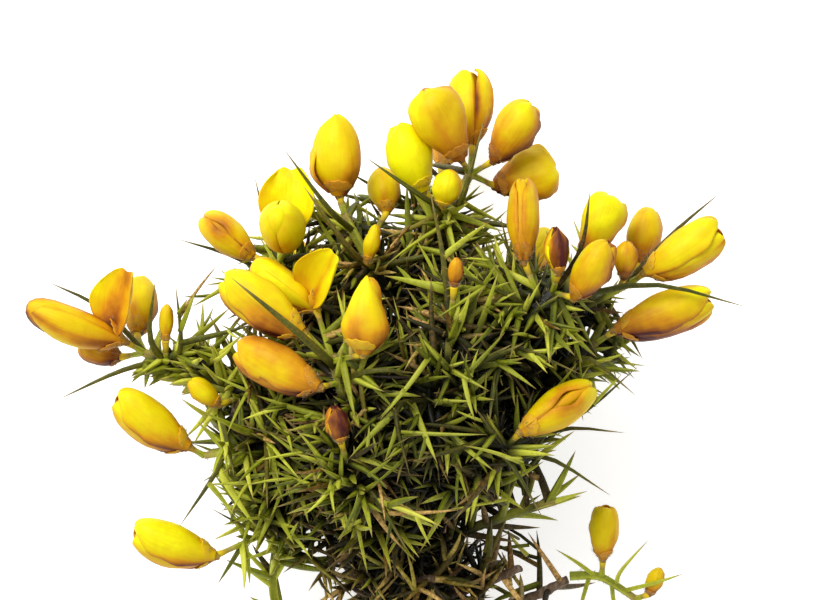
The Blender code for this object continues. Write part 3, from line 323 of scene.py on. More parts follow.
# Each pass of finer spines: the share of its rod where one starts, its degrees from the rod, and
# its millimetres.
SPROUTS = {
    "fill": Sprout((0.0, 1.0), (40, 80), (10.0, 19.0)),
    "side": Sprout((0.15, 0.7), (30, 60), (5.0, 10.0)),
    "outer": Sprout((0.0, 1.0), (30, 80), (4.0, 9.0)),
    "inner": Sprout((0.0, 1.0), (40, 110), (8.0, 15.0)),
    "skirt": Sprout((0.0, 1.0), (45, 110), (8.0, 18.0)),
    "inner_side": Sprout((0.1, 0.8), (35, 75), (5.0, 10.0)),
    "crown": Sprout((0.0, 1.0), (30, 80), (8.0, 16.0)),
    "edge": Sprout((0.0, 1.0), (30, 80), (8.0, 15.0)),
}

# How finely each kind of round piece is made, and the share of its radius that its grooves take.
TUBES = {
    "bark": Tube(20, 70, 0.03),
    "fork": Tube(14, 30, 0.03),
    "stem": Tube(12, 36, 0.14),
    "twigs": Tube(8, 6, 0.1),
    "spines": Tube(8, 8, 0.2),
    "fillers": Tube(6, 6, 0.18),
    "dead": Tube(6, 6, 0.18),
    "inner_dead_spines": Tube(5, 4, 0.12),
    "stalk": Tube(8, 8, 0.06),
    "hairs": Tube(3, 2, 0.0),
}

# The pod inside each kind of flower, in shares of the flower's length, half width and half depth.
PODS = {
    "open": Pod(0.52, 0.0, 0.8, 0.47, 0.8),
    "closed": Pod(0.5, 0.24, 0.54, 0.46, 0.7),
    "spent": Pod(0.5, 0.24, 0.54, 0.46, 0.7),
    # The slit pod's inner tint is painted shade: darker where it shows through the slit.
    "slit": Pod(0.5, 0.12, 0.54, 0.46, 0.76, 0.3),
    "bud": Pod(0.5, 0.0, 0.8, 0.48, 0.8),
}

# Colours run from 0, lemon, over golden and orange to 1, maroon. A patch is (along, across, reach,
# strength) of a darker or, below 0, a lighter place on each petal. Angles are in degrees.
LOOKS = {
    "bloom_far_left": Look(tint=0.34, edge=0.15, mid=0.08, spread=1.15, taper=0.42, end=0.2, blunt=3.0,
        patches=((0.6, 0.9, 0.5, -0.4), (0.3, 0.2, 0.34, 0.26), (1.0, 0.0, 0.3, 0.3))),
    "bloom_far_left_behind": Look(tint=0.26),
    "bud_far_left_low": Look(tint=0.48, base=0.4),
    "bud_far_left_thin": Look(tint=0.3),
    "bloom_left": Look(tint=0.1, base=0.35, edge=0.25, shade=0.5, wrap=108, gape=3, blunt=2.6, end=0.14,
        bend=0.2, spread=1.06, patches=((0.3, -0.85, 0.42, 0.32), (0.1, 0.0, 0.3, 0.2),
        (0.9, 0.2, 0.3, 0.12))),
    "bloom_lower_left": Look(tint=0.04, base=0.3, edge=0.25, shade=0.5, wrap=108, gape=3, blunt=2.6,
        end=0.2, bend=0.2, spread=1.06, patches=((0.4, -0.95, 0.3, 0.36), (0.1, 0.0, 0.25, 0.2))),
    "bud_left": Look(tint=0.2, base=0.4),
    # painted shade in and round the slit: darker margins there and darker inner petals
    "bloom_upper_left": Look(tint=0.2, wrap=181, slit=11, gape=0, edge=0.12, spread=0.86, inner=0.45,
        shade=0.3, end=0.2, patches=((0.68, 1.0, 0.26, 0.42), (0.68, -1.0, 0.26, 0.42))),
    "bloom_upper_left_open": Look(tint=-0.04, base=0.2, edge=0.04, mid=0.05, shade=0.14, notch=0.05,
        spread=1.3, fan=(91, 88), inner=0.04, crumple=2.2, patches=((0.4, 1.0, 0.62, 0.32),
        (0.9, 0.1, 0.2, 0.16))),
    "bloom_top_left": Look(tint=0.16, base=0.45, wrap=112, spread=1.42, skew=40, peak=0.42, taper=0.62,
        fan=(92, 46), reach=0.72, inner=0.14, patches=((0.35, 0.2, 0.35, 0.15),)),
    "bloom_bright": Look(tint=-0.02, base=0.14, edge=0.1, mid=0.03, shade=0.25, wrap=132, peak=0.55,
        taper=0.6, blunt=1.7),
    "bloom_crown_left": Look(tint=0.26, base=0.45, blunt=2.8, wrap=132, peak=0.62, skew=-14, reach=0.84,
        crumple=1.5, patches=((0.95, -0.4, 0.3, -0.3), (0.5, 0.1, 0.3, 0.15))),
    "bloom_crown_tip": Look(tint=0.24, edge=0.2, mid=0.12, base=0.4, gape=5, wrap=58, spread=1.1,
        fan=(106, 58), patches=((1.0, -0.4, 0.35, -0.35), (0.55, -1.0, 0.25, 0.5))),
    "bloom_crown_right": Look(tint=0.38, base=0.45, blunt=2.5, peak=0.6, crumple=1.4, wrap=132, reach=0.86,
        patches=((1.0, 0.2, 0.3, -0.45),)),
    "bloom_crown_broad": Look(tint=0.34, base=0.45, gape=12, blunt=2.8, peak=0.65, end=0.3, wrap=110,
        spread=1.14, skew=12, reach=0.86, crumple=1.8, patches=((0.95, 0.0, 0.25, -0.25),)),
    "bud_crown": Look(tint=0.06, base=0.3, taper=0.7),
    "bloom_pale": Look(tint=0.24, base=0.3, taper=0.6, wrap=132),
    "bloom_orange": Look(tint=0.36, wrap=168, gape=0, shade=0.25, edge=0.2, spread=0.8, end=0.2),
    "bloom_spent_maroon": Look(tint=0.94, base=0.0, edge=-0.4, wrap=96, gape=12, spread=1.25, end=0.05,
        taper=0.8, blunt=1.4, crumple=3.5, inner=-0.35, bend=0.0, patches=((0.6, -0.9, 0.35, -0.5),
        (1.0, 0.5, 0.3, -0.3))),
    "bloom_upper_right": Look(tint=0.04, base=1.0, edge=0.3, blunt=3.4, end=0.35, peak=0.7),
    "bloom_upper_right_low": Look(tint=0.36, base=0.3, edge=0.25, crumple=1.8,
        patches=((0.5, -0.6, 0.4, -0.25),)),
    "bud_right": Look(tint=0.4, base=0.5, taper=0.6),
    "bloom_right_behind": Look(tint=0.3, base=0.5, wrap=132),
    "bloom_right": Look(tint=0.16, base=0.3, edge=0.25, gape=5, wrap=104, blunt=3.2, end=0.3, bend=0.12,
        spread=1.04, patches=((1.0, 0.0, 0.12, 0.35),)),
    "bloom_right_low": Look(tint=0.27, edge=0.2, shade=0.45, wrap=128, blunt=2.2,
        patches=((1.0, 0.3, 0.25, -0.35), (0.35, 0.8, 0.4, 0.3))),
    # painted shade in and round the slit: darker margins there and darker inner petals
    "bloom_slit": Look(tint=0.1, wrap=180, slit=22, gape=0, edge=0.14, shade=0.2, spread=0.86, inner=0.75,
        end=0.2, patches=((0.6, 1.0, 0.32, 0.4), (0.6, -1.0, 0.32, 0.4))),
    "bloom_front": Look(tint=0.12, base=0.3, peak=0.34, blunt=1.2, taper=0.84, end=0.02, wrap=150, gape=0,
        spread=0.8, skew=-6, reach=0.8, edge=0.1, patches=((0.3, 0.05, 0.34, 0.32), (0.95, 0.0, 0.3, -0.15),
        (0.2, 0.6, 0.25, 0.25))),
    "bloom_front_low": Look(tint=0.36, base=0.3, shade=0.4, wrap=134, blunt=2.4, crumple=1.4,
        patches=((0.78, 0.0, 0.34, 0.36), (0.98, 0.0, 0.12, -0.3))),
    "bloom_pair_low": Look(tint=0.1, base=0.3, shade=0.5, wrap=128, gape=4, crumple=1.4,
        patches=((0.38, -0.75, 0.36, 0.52), (0.95, 0.2, 0.3, 0.15))),
    "bloom_pair_open": Look(tint=0.05, base=0.4, edge=0.12, mid=0.3, patches=((0.6, 0.8, 0.5, 0.25),)),
    "bud_narrow": Look(tint=0.2, base=0.4, edge=0.08, taper=0.9, blunt=1.4),
    "bloom_spent_brown": Look(tint=0.84, base=0.0, edge=-0.3, wrap=100, gape=10, spread=1.2, end=0.05,
        taper=0.7, crumple=3.0, inner=-0.2, bend=0.0),
    "bloom_lower_right": Look(tint=0.24, base=0.4, edge=0.08, shade=0.3, blunt=3, end=0.3, wrap=134),
    "bud_lower_right": Look(tint=0.28, base=0.5),
    "bud_middle": Look(tint=0.5, base=0.5),
}


def unit(vector):
    return vector / np.linalg.norm(vector)


def units(vectors):
    return vectors / np.maximum(np.linalg.norm(vectors, axis=-1, keepdims=True), TINY)


def smooth(low, high, value):
    """0 at low and before it, 1 at high and past it, and a soft step between."""
    share = np.clip((value - low) / (high - low), 0, 1)
    return share * share * (3 - 2 * share)


def rounded_path(points, steps=2):
    """A smooth path through the points, with the given number of steps between two of them."""
    points = [np.array(p, float) for p in points]
    ends = [2 * points[0] - points[1]] + points + [2 * points[-1] - points[-2]]
    path = []
    for a, b, c, d in zip(ends, ends[1:], ends[2:], ends[3:]):
        for t in np.arange(steps) / steps:
            bend = (2 * a - 5 * b + 4 * c - d) * t**2 + (3 * b - a - 3 * c + d) * t**3
            path.append(0.5 * (2 * b + (c - a) * t + bend))
    path.append(points[-1])
    return np.array(path)


def rod_gaps(starts, ends, radii, rods):
    """Gap between each new rod, one a row, and each standing rod, one a column.

    Each new rod has two radii, at its start and at its end.
    """
    p, q, q_radii = rods[:, 0:3], rods[:, 3:6], rods[:, 6:8]
    u, v = (ends - starts)[:, None], (q - p)[None]
    w = starts[:, None] - p[None]
    uu, uv, vv = (u * u).sum(-1), (u * v).sum(-1), np.maximum((v * v).sum(-1), TINY)
    uw, vw = (u * w).sum(-1), (v * w).sum(-1)
    s = np.clip((uv * vw - vv * uw) / np.maximum(uu * vv - uv * uv, TINY), 0, 1)
    t = np.clip((uv * s + vw) / vv, 0, 1)
    s = np.clip((uv * t - uw) / uu, 0, 1)
    apart = np.linalg.norm(w + s[..., None] * u - t[..., None] * v, axis=-1)
    own = radii[:, :1] + (radii[:, 1:] - radii[:, :1]) * s
    return apart - own - q_radii[:, 0] - (q_radii[:, 1] - q_radii[:, 0]) * t


class Clearance:
    """Every straight stretch placed so far, as tapered rods with the name of the piece each is in."""

    def __init__(self):
        self.rods = []
        self.owners = []

    def add(self, owner, a, b, radius_a, radius_b):
        self.rods.append((*a, *b, radius_a, radius_b))
        self.owners.append(owner)

    def add_path(self, owner, path, radii):
        for a, b, radius_a, radius_b in zip(path, path[1:], radii, radii[1:]):
            self.add(owner, a, b, radius_a, radius_b)

    def room(self, owner, a, b, radius_a, radius_b):
        """Smallest gap between a new rod and every rod of another piece."""
        rods = np.array([rod for rod, name in zip(self.rods, self.owners) if name != owner])
        if not len(rods):
            return math.inf
        return rod_gaps(a[None], b[None], np.array([[radius_a, radius_b]]), rods).min()


def flower_frame(flower):
    """Length, and the sideways, forward and dorsal directions of a flower."""
    forward = np.array(flower.tip, float) - flower.base
    length = np.linalg.norm(forward)
    forward = forward / length
    dorsal = np.array(flower.dorsal, float)
    dorsal = unit(dorsal - (dorsal @ forward) * forward)
    return length, np.cross(forward, dorsal), forward, dorsal


def flower_rods(flower):
    """The rods that stand for a flower's body: base, middle and tip, and a raised standard."""
    length, side, forward, dorsal = flower_frame(flower)
    base = np.array(flower.base, float)
    girth = 0.5 * max(flower.width, flower.depth)
    points = [base + forward * length * along for along, _ in BODY_GIRTHS]
    radii = [girth * share + BODY_ROOM for _, share in BODY_GIRTHS]
    rods = list(zip(points, points[1:], radii, radii[1:]))
    if flower.kind == "open":
        rise = math.sin(STANDARD_LIFT) * dorsal + math.cos(STANDARD_LIFT) * forward
        root = base + forward * STANDARD_ROOT * length
        top = root + rise * STANDARD_TOP * length
        turn = math.radians(flower.turn)
        across = math.cos(turn) * side + math.sin(turn) * forward
        for lean in STANDARD_SIDES:
            rods.append((root, top + lean * flower.spread * across, *STANDARD_RADII))
    return rods


def stalk_and_twig(flower, stem):
    """A flower's stalk, and the shoot's twig that leads to it, end to end on one straight line."""
    forward = flower_frame(flower)[2]
    base = np.array(flower.base, float)
    behind = base - forward * (STALK_LENGTH + MEET)
    root = stem[np.argmin(np.linalg.norm(stem[1:] - behind, axis=1)) + 1]
    reach = np.linalg.norm(base - root)
    along = (base - root) / reach
    stalk = min(STALK_LENGTH, 0.5 * reach)
    foot = base - along * stalk
    return foot, np.array([root, foot - along * MEET])


def cross_directions(along):
    """Two directions square to a stem and to each other."""
    across = unit(np.cross(along, UPWARD))
    return across, np.cross(along, across)


def thorn_frame(stem, share):
    """A point of a stem and the directions along it and across it."""
    place = share * (len(stem) - 1)
    leg = min(int(place), len(stem) - 2)
    point = stem[leg] + (stem[leg + 1] - stem[leg]) * (place - leg)
    along = unit(stem[leg + 1] - stem[leg])
    return point, along, *cross_directions(along)


def path_length(path):
    return np.linalg.norm(np.diff(path, axis=0), axis=1).sum()


def thorn_places(path, growing):
    """How far up a stem each thorn is, its share of the stem's length, and its turn round it."""
    count = int(path_length(path) / growing.step)
    for step in range(count):
        share = growing.start + growing.span * (step + 0.5) / count
        yield step / count, share, step * GOLDEN_ANGLE


class Layout:
    """Where everything is: stems, flowers, twigs and thorns, all clear of each other."""

    def __init__(self):
        self.draw = random.Random(SEED)
        self.clearance = Clearance()
        self.stems = {}
        self.twigs = {}
        self.thorns = {}
        self.feet = {}
        self.points = {}
        self.views = []
        for stem in WOOD:
            self.place_stem("woody_stem", stem)
        for stem in SHOOTS:
            self.place_stem("shoot_" + stem.name, stem)
        for flower in FLOWERS:
            self.place_flower(flower)
        for thorn in LONG_THORNS:
            self.place_long_thorn(thorn)
        self.grow_thorns()
        self.grow_dead_thorns()

    def place_stem(self, owner, stem):
        path = rounded_path(stem.points)
        radii = np.linspace(*stem.radii, len(path))
        if owner != "woody_stem":
            path = self.seated(path, radii[0])
        self.stems.setdefault(owner, []).append((path, radii))
        self.clearance.add_path(owner, path, radii)

    def seated(self, path, radius):
        """The path shortened at its start until its end face just clears the wood."""
        along = unit(path[1] - path[0])
        across, over = cross_directions(along)
        turns = np.linspace(0, 2 * math.pi, RIM_SPOTS, endpoint=False)
        rim = [radius * (math.cos(turn) * across + math.sin(turn) * over) for turn in turns]
        start, step = path[0] - SEAT_BACK * along, SEAT_STEP * along
        while True:
            spots = [start + spot for spot in rim] + [start]
            gap = min(self.clearance.room("", spot, spot + 0.01 * step, 0, 0) for spot in spots)
            if gap >= MEET:
                return np.array([start, *path[1:]])
            start = start + step

    def place_flower(self, flower):
        for a, b, radius_a, radius_b in flower_rods(flower):
            self.clearance.add(flower.name, a, b, radius_a, radius_b)
            if not flower.shoot.startswith("back"):
                self.views.append((a, b, max(radius_a, radius_b)))
        owner = "shoot_" + flower.shoot
        foot, twig = stalk_and_twig(flower, self.stems[owner][0][0])
        self.feet[flower.name] = foot
        self.clearance.add(flower.name, foot, np.array(flower.base, float), STALK_RADIUS, 1.0)
        self.twigs.setdefault(owner, []).append(twig)
        self.clearance.add_path(owner, twig, (TWIG_RADIUS, STALK_RADIUS))

    def place_long_thorn(self, thorn):
        owner = "shoot_" + thorn.shoot
        points = [np.array(p, float) for p in thorn.points]
        self.add_thorn(owner, points, thorn.radius)

    def add_thorn(self, owner, points, radius):
        self.thorns.setdefault(owner, []).append((points, radius))
        shank = [radius * SHANK_TAPER] if len(points) == 3 else []
        self.clearance.add_path(owner, points, [radius, *shank, POINT_RADIUS])
        outer = points[-2] + (points[-1] - points[-2]) * FREE_SHARE
        free = self.points.setdefault(owner, Clearance())
        free.add("", outer, points[-1], radius * FREE_GIRTH, POINT_RADIUS)

    def in_the_way(self, points):
        """True if a thorn would pass in front of a flower, or end too near the table."""
        for share in VIEW_SHARES:
            spot = points[0] + (points[-1] - points[0]) * share
            for a, b, radius in self.views:
                leg = b[:2] - a[:2]
                t = np.clip((spot[:2] - a[:2]) @ leg / max(leg @ leg, SMALL), 0, 1)
                near = np.linalg.norm(a[:2] + t * leg - spot[:2]) < radius + VIEW_MARGIN
                if near and spot[2] > (a + t * (b - a))[2]:
                    return True
        return points[-1][2] < LOWEST_THORN

    def in_the_head(self, point):
        return np.linalg.norm((point - HEAD_MIDDLE) / HEAD_REACH) < 1.0

    def try_thorn(self, owner, root, direction, length, radius):
        points = [root, root + direction * length]
        if self.in_the_way(points):
            return False
        if self.clearance.room(owner, *points, radius, POINT_RADIUS) < GAP:
            return False
        outer = root + direction * length * FREE_SHARE
        girth = radius * FREE_GIRTH
        if self.points[owner].room("own", outer, points[1], girth, POINT_RADIUS) < FREE_GAP:
            return False
        self.add_thorn(owner, points, radius)
        return True

    def grow_thorn(self, growing, owner, stem, share, turn):
        """One thorn where there is room, and on the side of a green one sometimes a smaller one."""
        draw, green = self.draw, growing is GREEN_THORNS
        root, along, across, over = thorn_frame(stem, share)
        lean = math.radians(draw.uniform(*growing.lean) - growing.closing * share)
        length = draw.uniform(*growing.length)
        for _ in range(growing.tries):
            outward = math.cos(turn) * across + math.sin(turn) * over
            direction = math.cos(lean) * along + math.sin(lean) * outward
            if not green or self.in_the_head(root + direction * length):
                if self.try_thorn(owner, root, direction, length, growing.radius):
                    if green:
                        self.grow_side_thorn(owner, root, direction * length, outward)
                    return
            turn += growing.turn
            length *= growing.shrink

    def grow_side_thorn(self, owner, root, leg, outward):
        draw = self.draw
        if draw.random() > SIDE_THORN_SHARE:
            return
        direction = unit(leg)
        sideways = unit(np.cross(direction, outward) * draw.choice((-1, 1))
                        + SIDE_THORN_OUTWARD * outward)
        lean = math.radians(draw.uniform(*SIDE_THORN_LEAN))
        aim = math.cos(lean) * direction + math.sin(lean) * sideways
        start = root + leg * draw.uniform(*SIDE_THORN_START)
        self.try_thorn(owner, start, aim, draw.uniform(*SIDE_THORN_LENGTH), SIDE_THORN_RADIUS)

    def grow_thorns(self):
        """A thorn on each shoot in turn, in a spiral down its stem, so that none crowds out the rest."""
        waiting = []
        for stem in SHOOTS:
            owner = "shoot_" + stem.name
            path = self.stems[owner][0][0]
            for up, share, turn in thorn_places(path, GREEN_THORNS):
                waiting.append((up, owner, path, share, turn))
            self.thorns.setdefault(owner, [])
            self.points.setdefault(owner, Clearance())
            tip = [path[-2], path[-1], path[-1] + unit(path[-1] - path[-2]) * TIP_THORN_LENGTH]
            if self.clear_tip(owner, tip, stem.radii[1]):
                self.add_thorn(owner, tip, stem.radii[1])
        for _, owner, path, share, turn in sorted(waiting, key=lambda item: -item[0]):
            self.grow_thorn(GREEN_THORNS, owner, path, share, turn)

    def clear_tip(self, owner, tip, radius):
        """True if a thorn can end the shoot; the hidden ones end in their flower instead."""
        if owner.startswith("shoot_back"):
            return False
        room = self.clearance.room(owner, tip[1], tip[2], radius, POINT_RADIUS)
        return room > GAP and not self.in_the_way(tip)

    def grow_dead_thorns(self):
        """Bare brown thorns on the wood, in a spiral up each stem."""
        self.points["woody_stem"] = Clearance()
        for path, _ in self.stems["woody_stem"]:
            for _, share, turn in thorn_places(path, DEAD_THORNS):
                self.grow_thorn(DEAD_THORNS, "woody_stem", path, share, turn)


LAYOUT = Layout()


# Spines that fill the head, finer than the solids' own

def seen_from_above(points):
    """Where points fall in the picture, as plan millimetres at the table."""
    return points[..., :2] * (CAMERA_HEIGHT / (CAMERA_HEIGHT - points[..., 2:]))


def hides_a_flower(starts, ends):
    """True for each new spine that would pass in front of a flower in the picture."""
    low = np.array([a for a, _, _ in LAYOUT.views])
    high = np.array([b for _, b, _ in LAYOUT.views])
    girth = np.array([radius for _, _, radius in LAYOUT.views])
    low_seen, high_seen = seen_from_above(low), seen_from_above(high)
    leg = high_seen - low_seen
    hidden = np.zeros(len(starts), bool)
    for share in np.linspace(0.1, 1.0, 7):
        spot = starts + (ends - starts) * share
        seen = seen_from_above(spot)[:, None]
        t = ((seen - low_seen) * leg).sum(-1) / np.maximum((leg * leg).sum(-1), SMALL)
        t = np.clip(t, 0, 1)
        near = np.linalg.norm(low_seen + t[..., None] * leg - seen, axis=-1) < girth + VIEW_MARGIN
        behind = low[:, 2] + t * (high - low)[:, 2]
        hidden |= (near & (spot[:, 2:] > behind)).any(axis=1)
    return hidden


def head_depth(points):
    """0 at the middle of the head and 1 at its outside."""
    return np.linalg.norm((points - HEAD_MIDDLE) / HEAD_REACH, axis=-1)


class Shade:
    """How much of the light from all round comes through the rods to each place between them."""

    def __init__(self, rods):
        legs = rods[:, 3:6] - rods[:, 0:3]
        spots = rods[:, None, 0:3] + legs[:, None] * ROD_SPOTS
        self.low = spots.min(axis=(0, 1)) - 2 * CELL
        cells = ((spots - self.low) / CELL).astype(int).reshape(-1, 3)
        area = np.linalg.norm(legs, axis=1) * (rods[:, 6] + rods[:, 7]) / len(ROD_SPOTS)
        dense = np.zeros(cells.max(axis=0) + 3)
        np.add.at(dense, tuple(cells.T), np.repeat(area, len(ROD_SPOTS)) / CELL**3)
        light, total = 0.0, 0.0
        for way in product((-1, 0, 1), repeat=3):
            if any(way):
                strength = LEAST_SKY + max(0.0, unit(np.array(way)) @ unit(LIGHT_SIDE))
                met = self.met_along(dense, way) * CELL * np.linalg.norm(way)
                light = light + strength * np.exp(-THICKNESS_SEEN * met)
                total += strength
        self.light = light / total

    @staticmethod
    def met_along(dense, way):
        """All that lies ahead of each cell in one direction."""
        here = tuple(slice(max(-w, 0), size + min(-w, 0)) for w, size in zip(way, dense.shape))
        there = tuple(slice(max(w, 0), size + min(w, 0)) for w, size in zip(way, dense.shape))
        met, ahead = 0.5 * dense, dense
        for _ in range(max(dense.shape)):
            moved = np.zeros_like(dense)
            moved[here] = ahead[there]
            met, ahead = met + moved, moved
        return met

    def at(self, points):
        spots = (np.asarray(points) - self.low) / CELL - 0.5
        spots = np.clip(spots, 0, np.array(self.light.shape) - 1.001)
        cells = spots.astype(int)
        value = 0.0
        for corner in product((0, 1), repeat=3):
            weight = np.where(corner, spots - cells, 1 - spots + cells).prod(axis=-1)
            value = value + weight * self.light[tuple(np.moveaxis(cells + corner, -1, 0))]
        return value


def sprouts(rng, rods, count, kind):
    """Random sprouts: the rod each grows on, that rod's radius there, and where it starts and ends."""
    share, lean, length = SPROUTS[kind]
    legs = rods[:, 3:6] - rods[:, 0:3]
    weight = np.linalg.norm(legs, axis=1)
    on = rng.choice(len(rods), size=count, p=weight / weight.sum())
    place = rng.uniform(*share, (count, 1))
    start = rods[on, 0:3] + legs[on] * place
    girth = rods[on, 6] + (rods[on, 7] - rods[on, 6]) * place[:, 0]
    along = units(legs[on])
    around = units(np.cross(along, rng.normal(size=(count, 3))))
    lean = np.radians(rng.uniform(*lean, (count, 1)))
    aim = np.cos(lean) * along + np.sin(lean) * around
    return on, girth, start, start + aim * rng.uniform(*length, (count, 1))


def in_the_skirt(points):
    """True in the brown tangle round the stem below the head."""
    half = np.interp(points[..., 1], SKIRT_ALONG, SKIRT_HALF)
    beside = np.abs(points[..., 0] - SKIRT_MIDDLE) < half
    return beside & (points[..., 2] < SKIRT_TOP) & (points[..., 1] > SKIRT_ALONG[0])


def in_the_head(points, reach):
    return (head_depth(points) < reach) & (points[..., :2] @ CLEAR_AWAY < CLEAR_FROM)


def within(points, place):
    """True inside the ball round a place, stretched to its reach along each axis."""
    middle, reach = place
    return np.linalg.norm((points - middle) / reach, axis=-1) < 1.0


class Growth:
    """The finer spines, each rooted on a stem or on another spine."""

    def __init__(self, settings):
        self.rng = np.random.default_rng(settings.seed)
        self.green = []
        self.dead = []
        clearance = LAYOUT.clearance
        rods, owners = np.array(clearance.rods), np.array(clearance.owners)
        self.flowers = rods[[not name.startswith(("shoot", "wood")) for name in owners]]
        shoots = np.array([name.startswith("shoot") for name in owners])
        wood = owners == "woody_stem"
        fill, side = settings.fill_radius / MM, settings.side_radius / MM
        bare = Shade(rods)

        def roots(chosen):
            return rods[chosen], owners[chosen]

        self.grow("fill", roots(shoots), settings.fill_count, fill, self.green,
                  lambda spot: in_the_head(spot, FILL_REACH) & (bare.at(spot) > OPEN_AIR))
        green = self.standing(*roots(shoots), self.green)
        self.grow("side", green, settings.side_count, side, self.green,
                  lambda spot: in_the_head(spot, SIDE_REACH) & (bare.at(spot) > OPEN_AIR))
        self.grow("outer", roots(owners == "shoot_far_left"), settings.outer_count, fill,
                  self.green, lambda spot: within(spot, FAR_LEFT))
        inner = (wood | shoots) & (head_depth(rods[:, 0:3]) < INNER_ROOTS)
        self.grow("inner", roots(inner), settings.inner_count, fill * DEAD_GIRTH, self.dead,
                  lambda spot: in_the_head(spot, INNER_REACH))
        low = wood & (rods[:, 1] < SKIRT_ALONG[-1])
        self.grow("skirt", roots(low), settings.skirt_count, fill * DEAD_GIRTH, self.dead,
                  in_the_skirt)
        dead = self.standing(rods[:0], owners[:0], self.dead)
        self.grow("inner_side", dead, settings.inner_side_count, side, self.dead,
                  lambda spot: in_the_head(spot, INNER_SIDE_REACH) | in_the_skirt(spot))
        self.grow("crown", roots(np.isin(owners, CROWN_SHOOTS)), settings.crown_count, fill,
                  self.green, lambda spot: within(spot, CROWN))
        self.grow("edge", roots(np.isin(owners, LEFT_EDGE_SHOOTS)), settings.edge_count, side,
                  self.green, lambda spot: within(spot, LEFT_EDGE))
        self.shade = Shade(self.standing(*self.standing(rods, owners, self.green), self.dead)[0])

    @staticmethod
    def standing(rods, owners, grown):
        """The rods and their owners, with the grown spines among them."""
        return (np.vstack((rods, [row[2] for row in grown])),
                np.append(owners, [row[0] for row in grown]))

    def grow(self, kind, roots, count, radius, kept, allowed):
        """One pass: keep each sprout that ends where it is allowed to and hides no flower."""
        rods, owners = roots
        on, girth, start, end = sprouts(self.rng, rods, count, kind)
        radii = np.minimum(radius * self.rng.uniform(*GIRTHS, count), ROOT_GIRTH * girth)
        tint = self.rng.uniform(0, 1, count)
        good = allowed(end) & (end[:, 2] > LOWEST_SPINE) & (end[:, 2] < HIGHEST_SPINE)
        good &= radii > LEAST_GIRTH * radius
        good &= ~hides_a_flower(start, end)
        tapered = np.outer(radii[good], (1, 1 - SPINE_TAPER))
        gaps = rod_gaps(start[good], end[good], tapered, self.flowers)
        good[good] = gaps.min(axis=1) > FLOWER_GAP
        for number in np.flatnonzero(good):
            row = np.array((*start[number], *end[number], radii[number], POINT_RADIUS))
            kept.append((owners[on[number]], tint[number], row))


@cache
def growth():
    """The finer spines, grown when they are first asked for."""
    return Growth(bpy.context.scene.gorse_spines)


def brown_share(points):
    """How dead the spines are: brown towards the bottom of the head and deep inside it."""
    low = smooth(*BROWN_BELOW, points[..., 1]) * smooth(*BROWN_FROM_LEFT, points[..., 0])
    low = low * smooth(*BROWN_FROM_RIGHT, points[..., 0])
    inside = smooth(*BROWN_INSIDE, head_depth(points))
    return np.clip(BROWN_LOW_SHARE * low + BROWN_INSIDE_SHARE * inside, 0, 1)


def daylight(points):
    """How much of their own colour spines show: all on the sunny outside, hardly any deep inside."""
    # painted light and shade: spines go towards black where little light comes in, lighter on the sunny
    # side, darker round the dusk's middle
    light = growth().shade.at(points)
    light = light * (1 + SUNNY_SHARE * (units(points - HEAD_MIDDLE) @ unit(SUNNY_SIDE)))
    dusk = np.exp(-(((points - DUSK_MIDDLE) / DUSK_REACH) ** 2).sum(axis=-1))
    return smooth(GLOOM, BRIGHT, light) * (1 - DUSK_SHARE * dusk)


# Mesh helpers

def bring_to_metres(mesh):
    scale = Matrix.Scale(MM, 4) @ Matrix.Translation((-CENTRE[0], -CENTRE[1], 0.0))
    mesh.transform(scale)


def press_into_box(mesh):
    """Ease what would leave the solids' own box back against its sides, as on a table top."""
    spots = np.empty(len(mesh.vertices) * 3)
    mesh.vertices.foreach_get("co", spots)
    spots = spots.reshape(-1, 3)
    low, high = (np.array(corner) for corner in CAD_BOX)
    spots = low + EASE * np.logaddexp(0, (spots - low) / EASE)
    spots = high - EASE * np.logaddexp(0, (high - spots) / EASE)
    mesh.vertices.foreach_set("co", spots.ravel())
    mesh.update()


def new_object(name, mesh):
    obj = bpy.data.objects.new(name, mesh)
    bpy.context.scene.collection.objects.link(obj)
    return obj


def mesh_of(bm, name):
    mesh = bpy.data.meshes.new(name)
    bm.to_mesh(mesh)
    bm.free()
    return mesh


def faces_of(verts):
    """The faces round some vertices, each once and always in the same order."""
    return list(dict.fromkeys(face for vert in verts for face in vert.link_faces))


def joined(name, objects):
    """One object from several, under a new name."""
    with bpy.context.temp_override(active_object=objects[0], selected_editable_objects=objects):
        bpy.ops.object.join()
    objects[0].name = objects[0].data.name = name
    return objects[0]


def tube_copies(sides, rings, count):
    """Many copies of one plain tube in one mesh, which the Array modifier makes at once."""
    bm = bmesh.new()
    bmesh.ops.create_cone(bm, cap_ends=True, segments=sides, radius1=1.0, radius2=1.0, depth=1.0)
    lengthways = [edge for edge in bm.edges if abs(edge.verts[0].co.z - edge.verts[1].co.z) > 0.5]
    bmesh.ops.subdivide_edges(bm, edges=lengthways, cuts=rings - 2, use_grid_fill=True)
    spots = np.array([vert.co for vert in bm.verts])
    guide = new_object("tube", mesh_of(bm, "tube"))
    array = guide.modifiers.new("Copies", "ARRAY")
    array.count = count
    array.use_relative_offset = False
    array.use_constant_offset = True
    array.constant_offset_displace = (0, 0, 0)
    graph = bpy.context.evaluated_depsgraph_get()
    mesh = bpy.data.meshes.new_from_object(guide.evaluated_get(graph))
    bpy.data.objects.remove(guide)
    ring = np.rint((spots[:, 2] + 0.5) * (rings - 1)).astype(int)
    side = np.floor(np.arctan2(spots[:, 1], spots[:, 0]) / (2 * math.pi / sides)).astype(int) % sides
    return mesh, ring, side


def resampled(values, count):
    """Values along a path, taken again at evenly spaced places."""
    places = np.linspace(0, len(values) - 1, count)
    values = np.asarray(values, float)
    if values.ndim == 1:
        return np.interp(places, np.arange(len(values)), values)
    return np.column_stack([np.interp(places, np.arange(len(values)), row) for row in values.T])


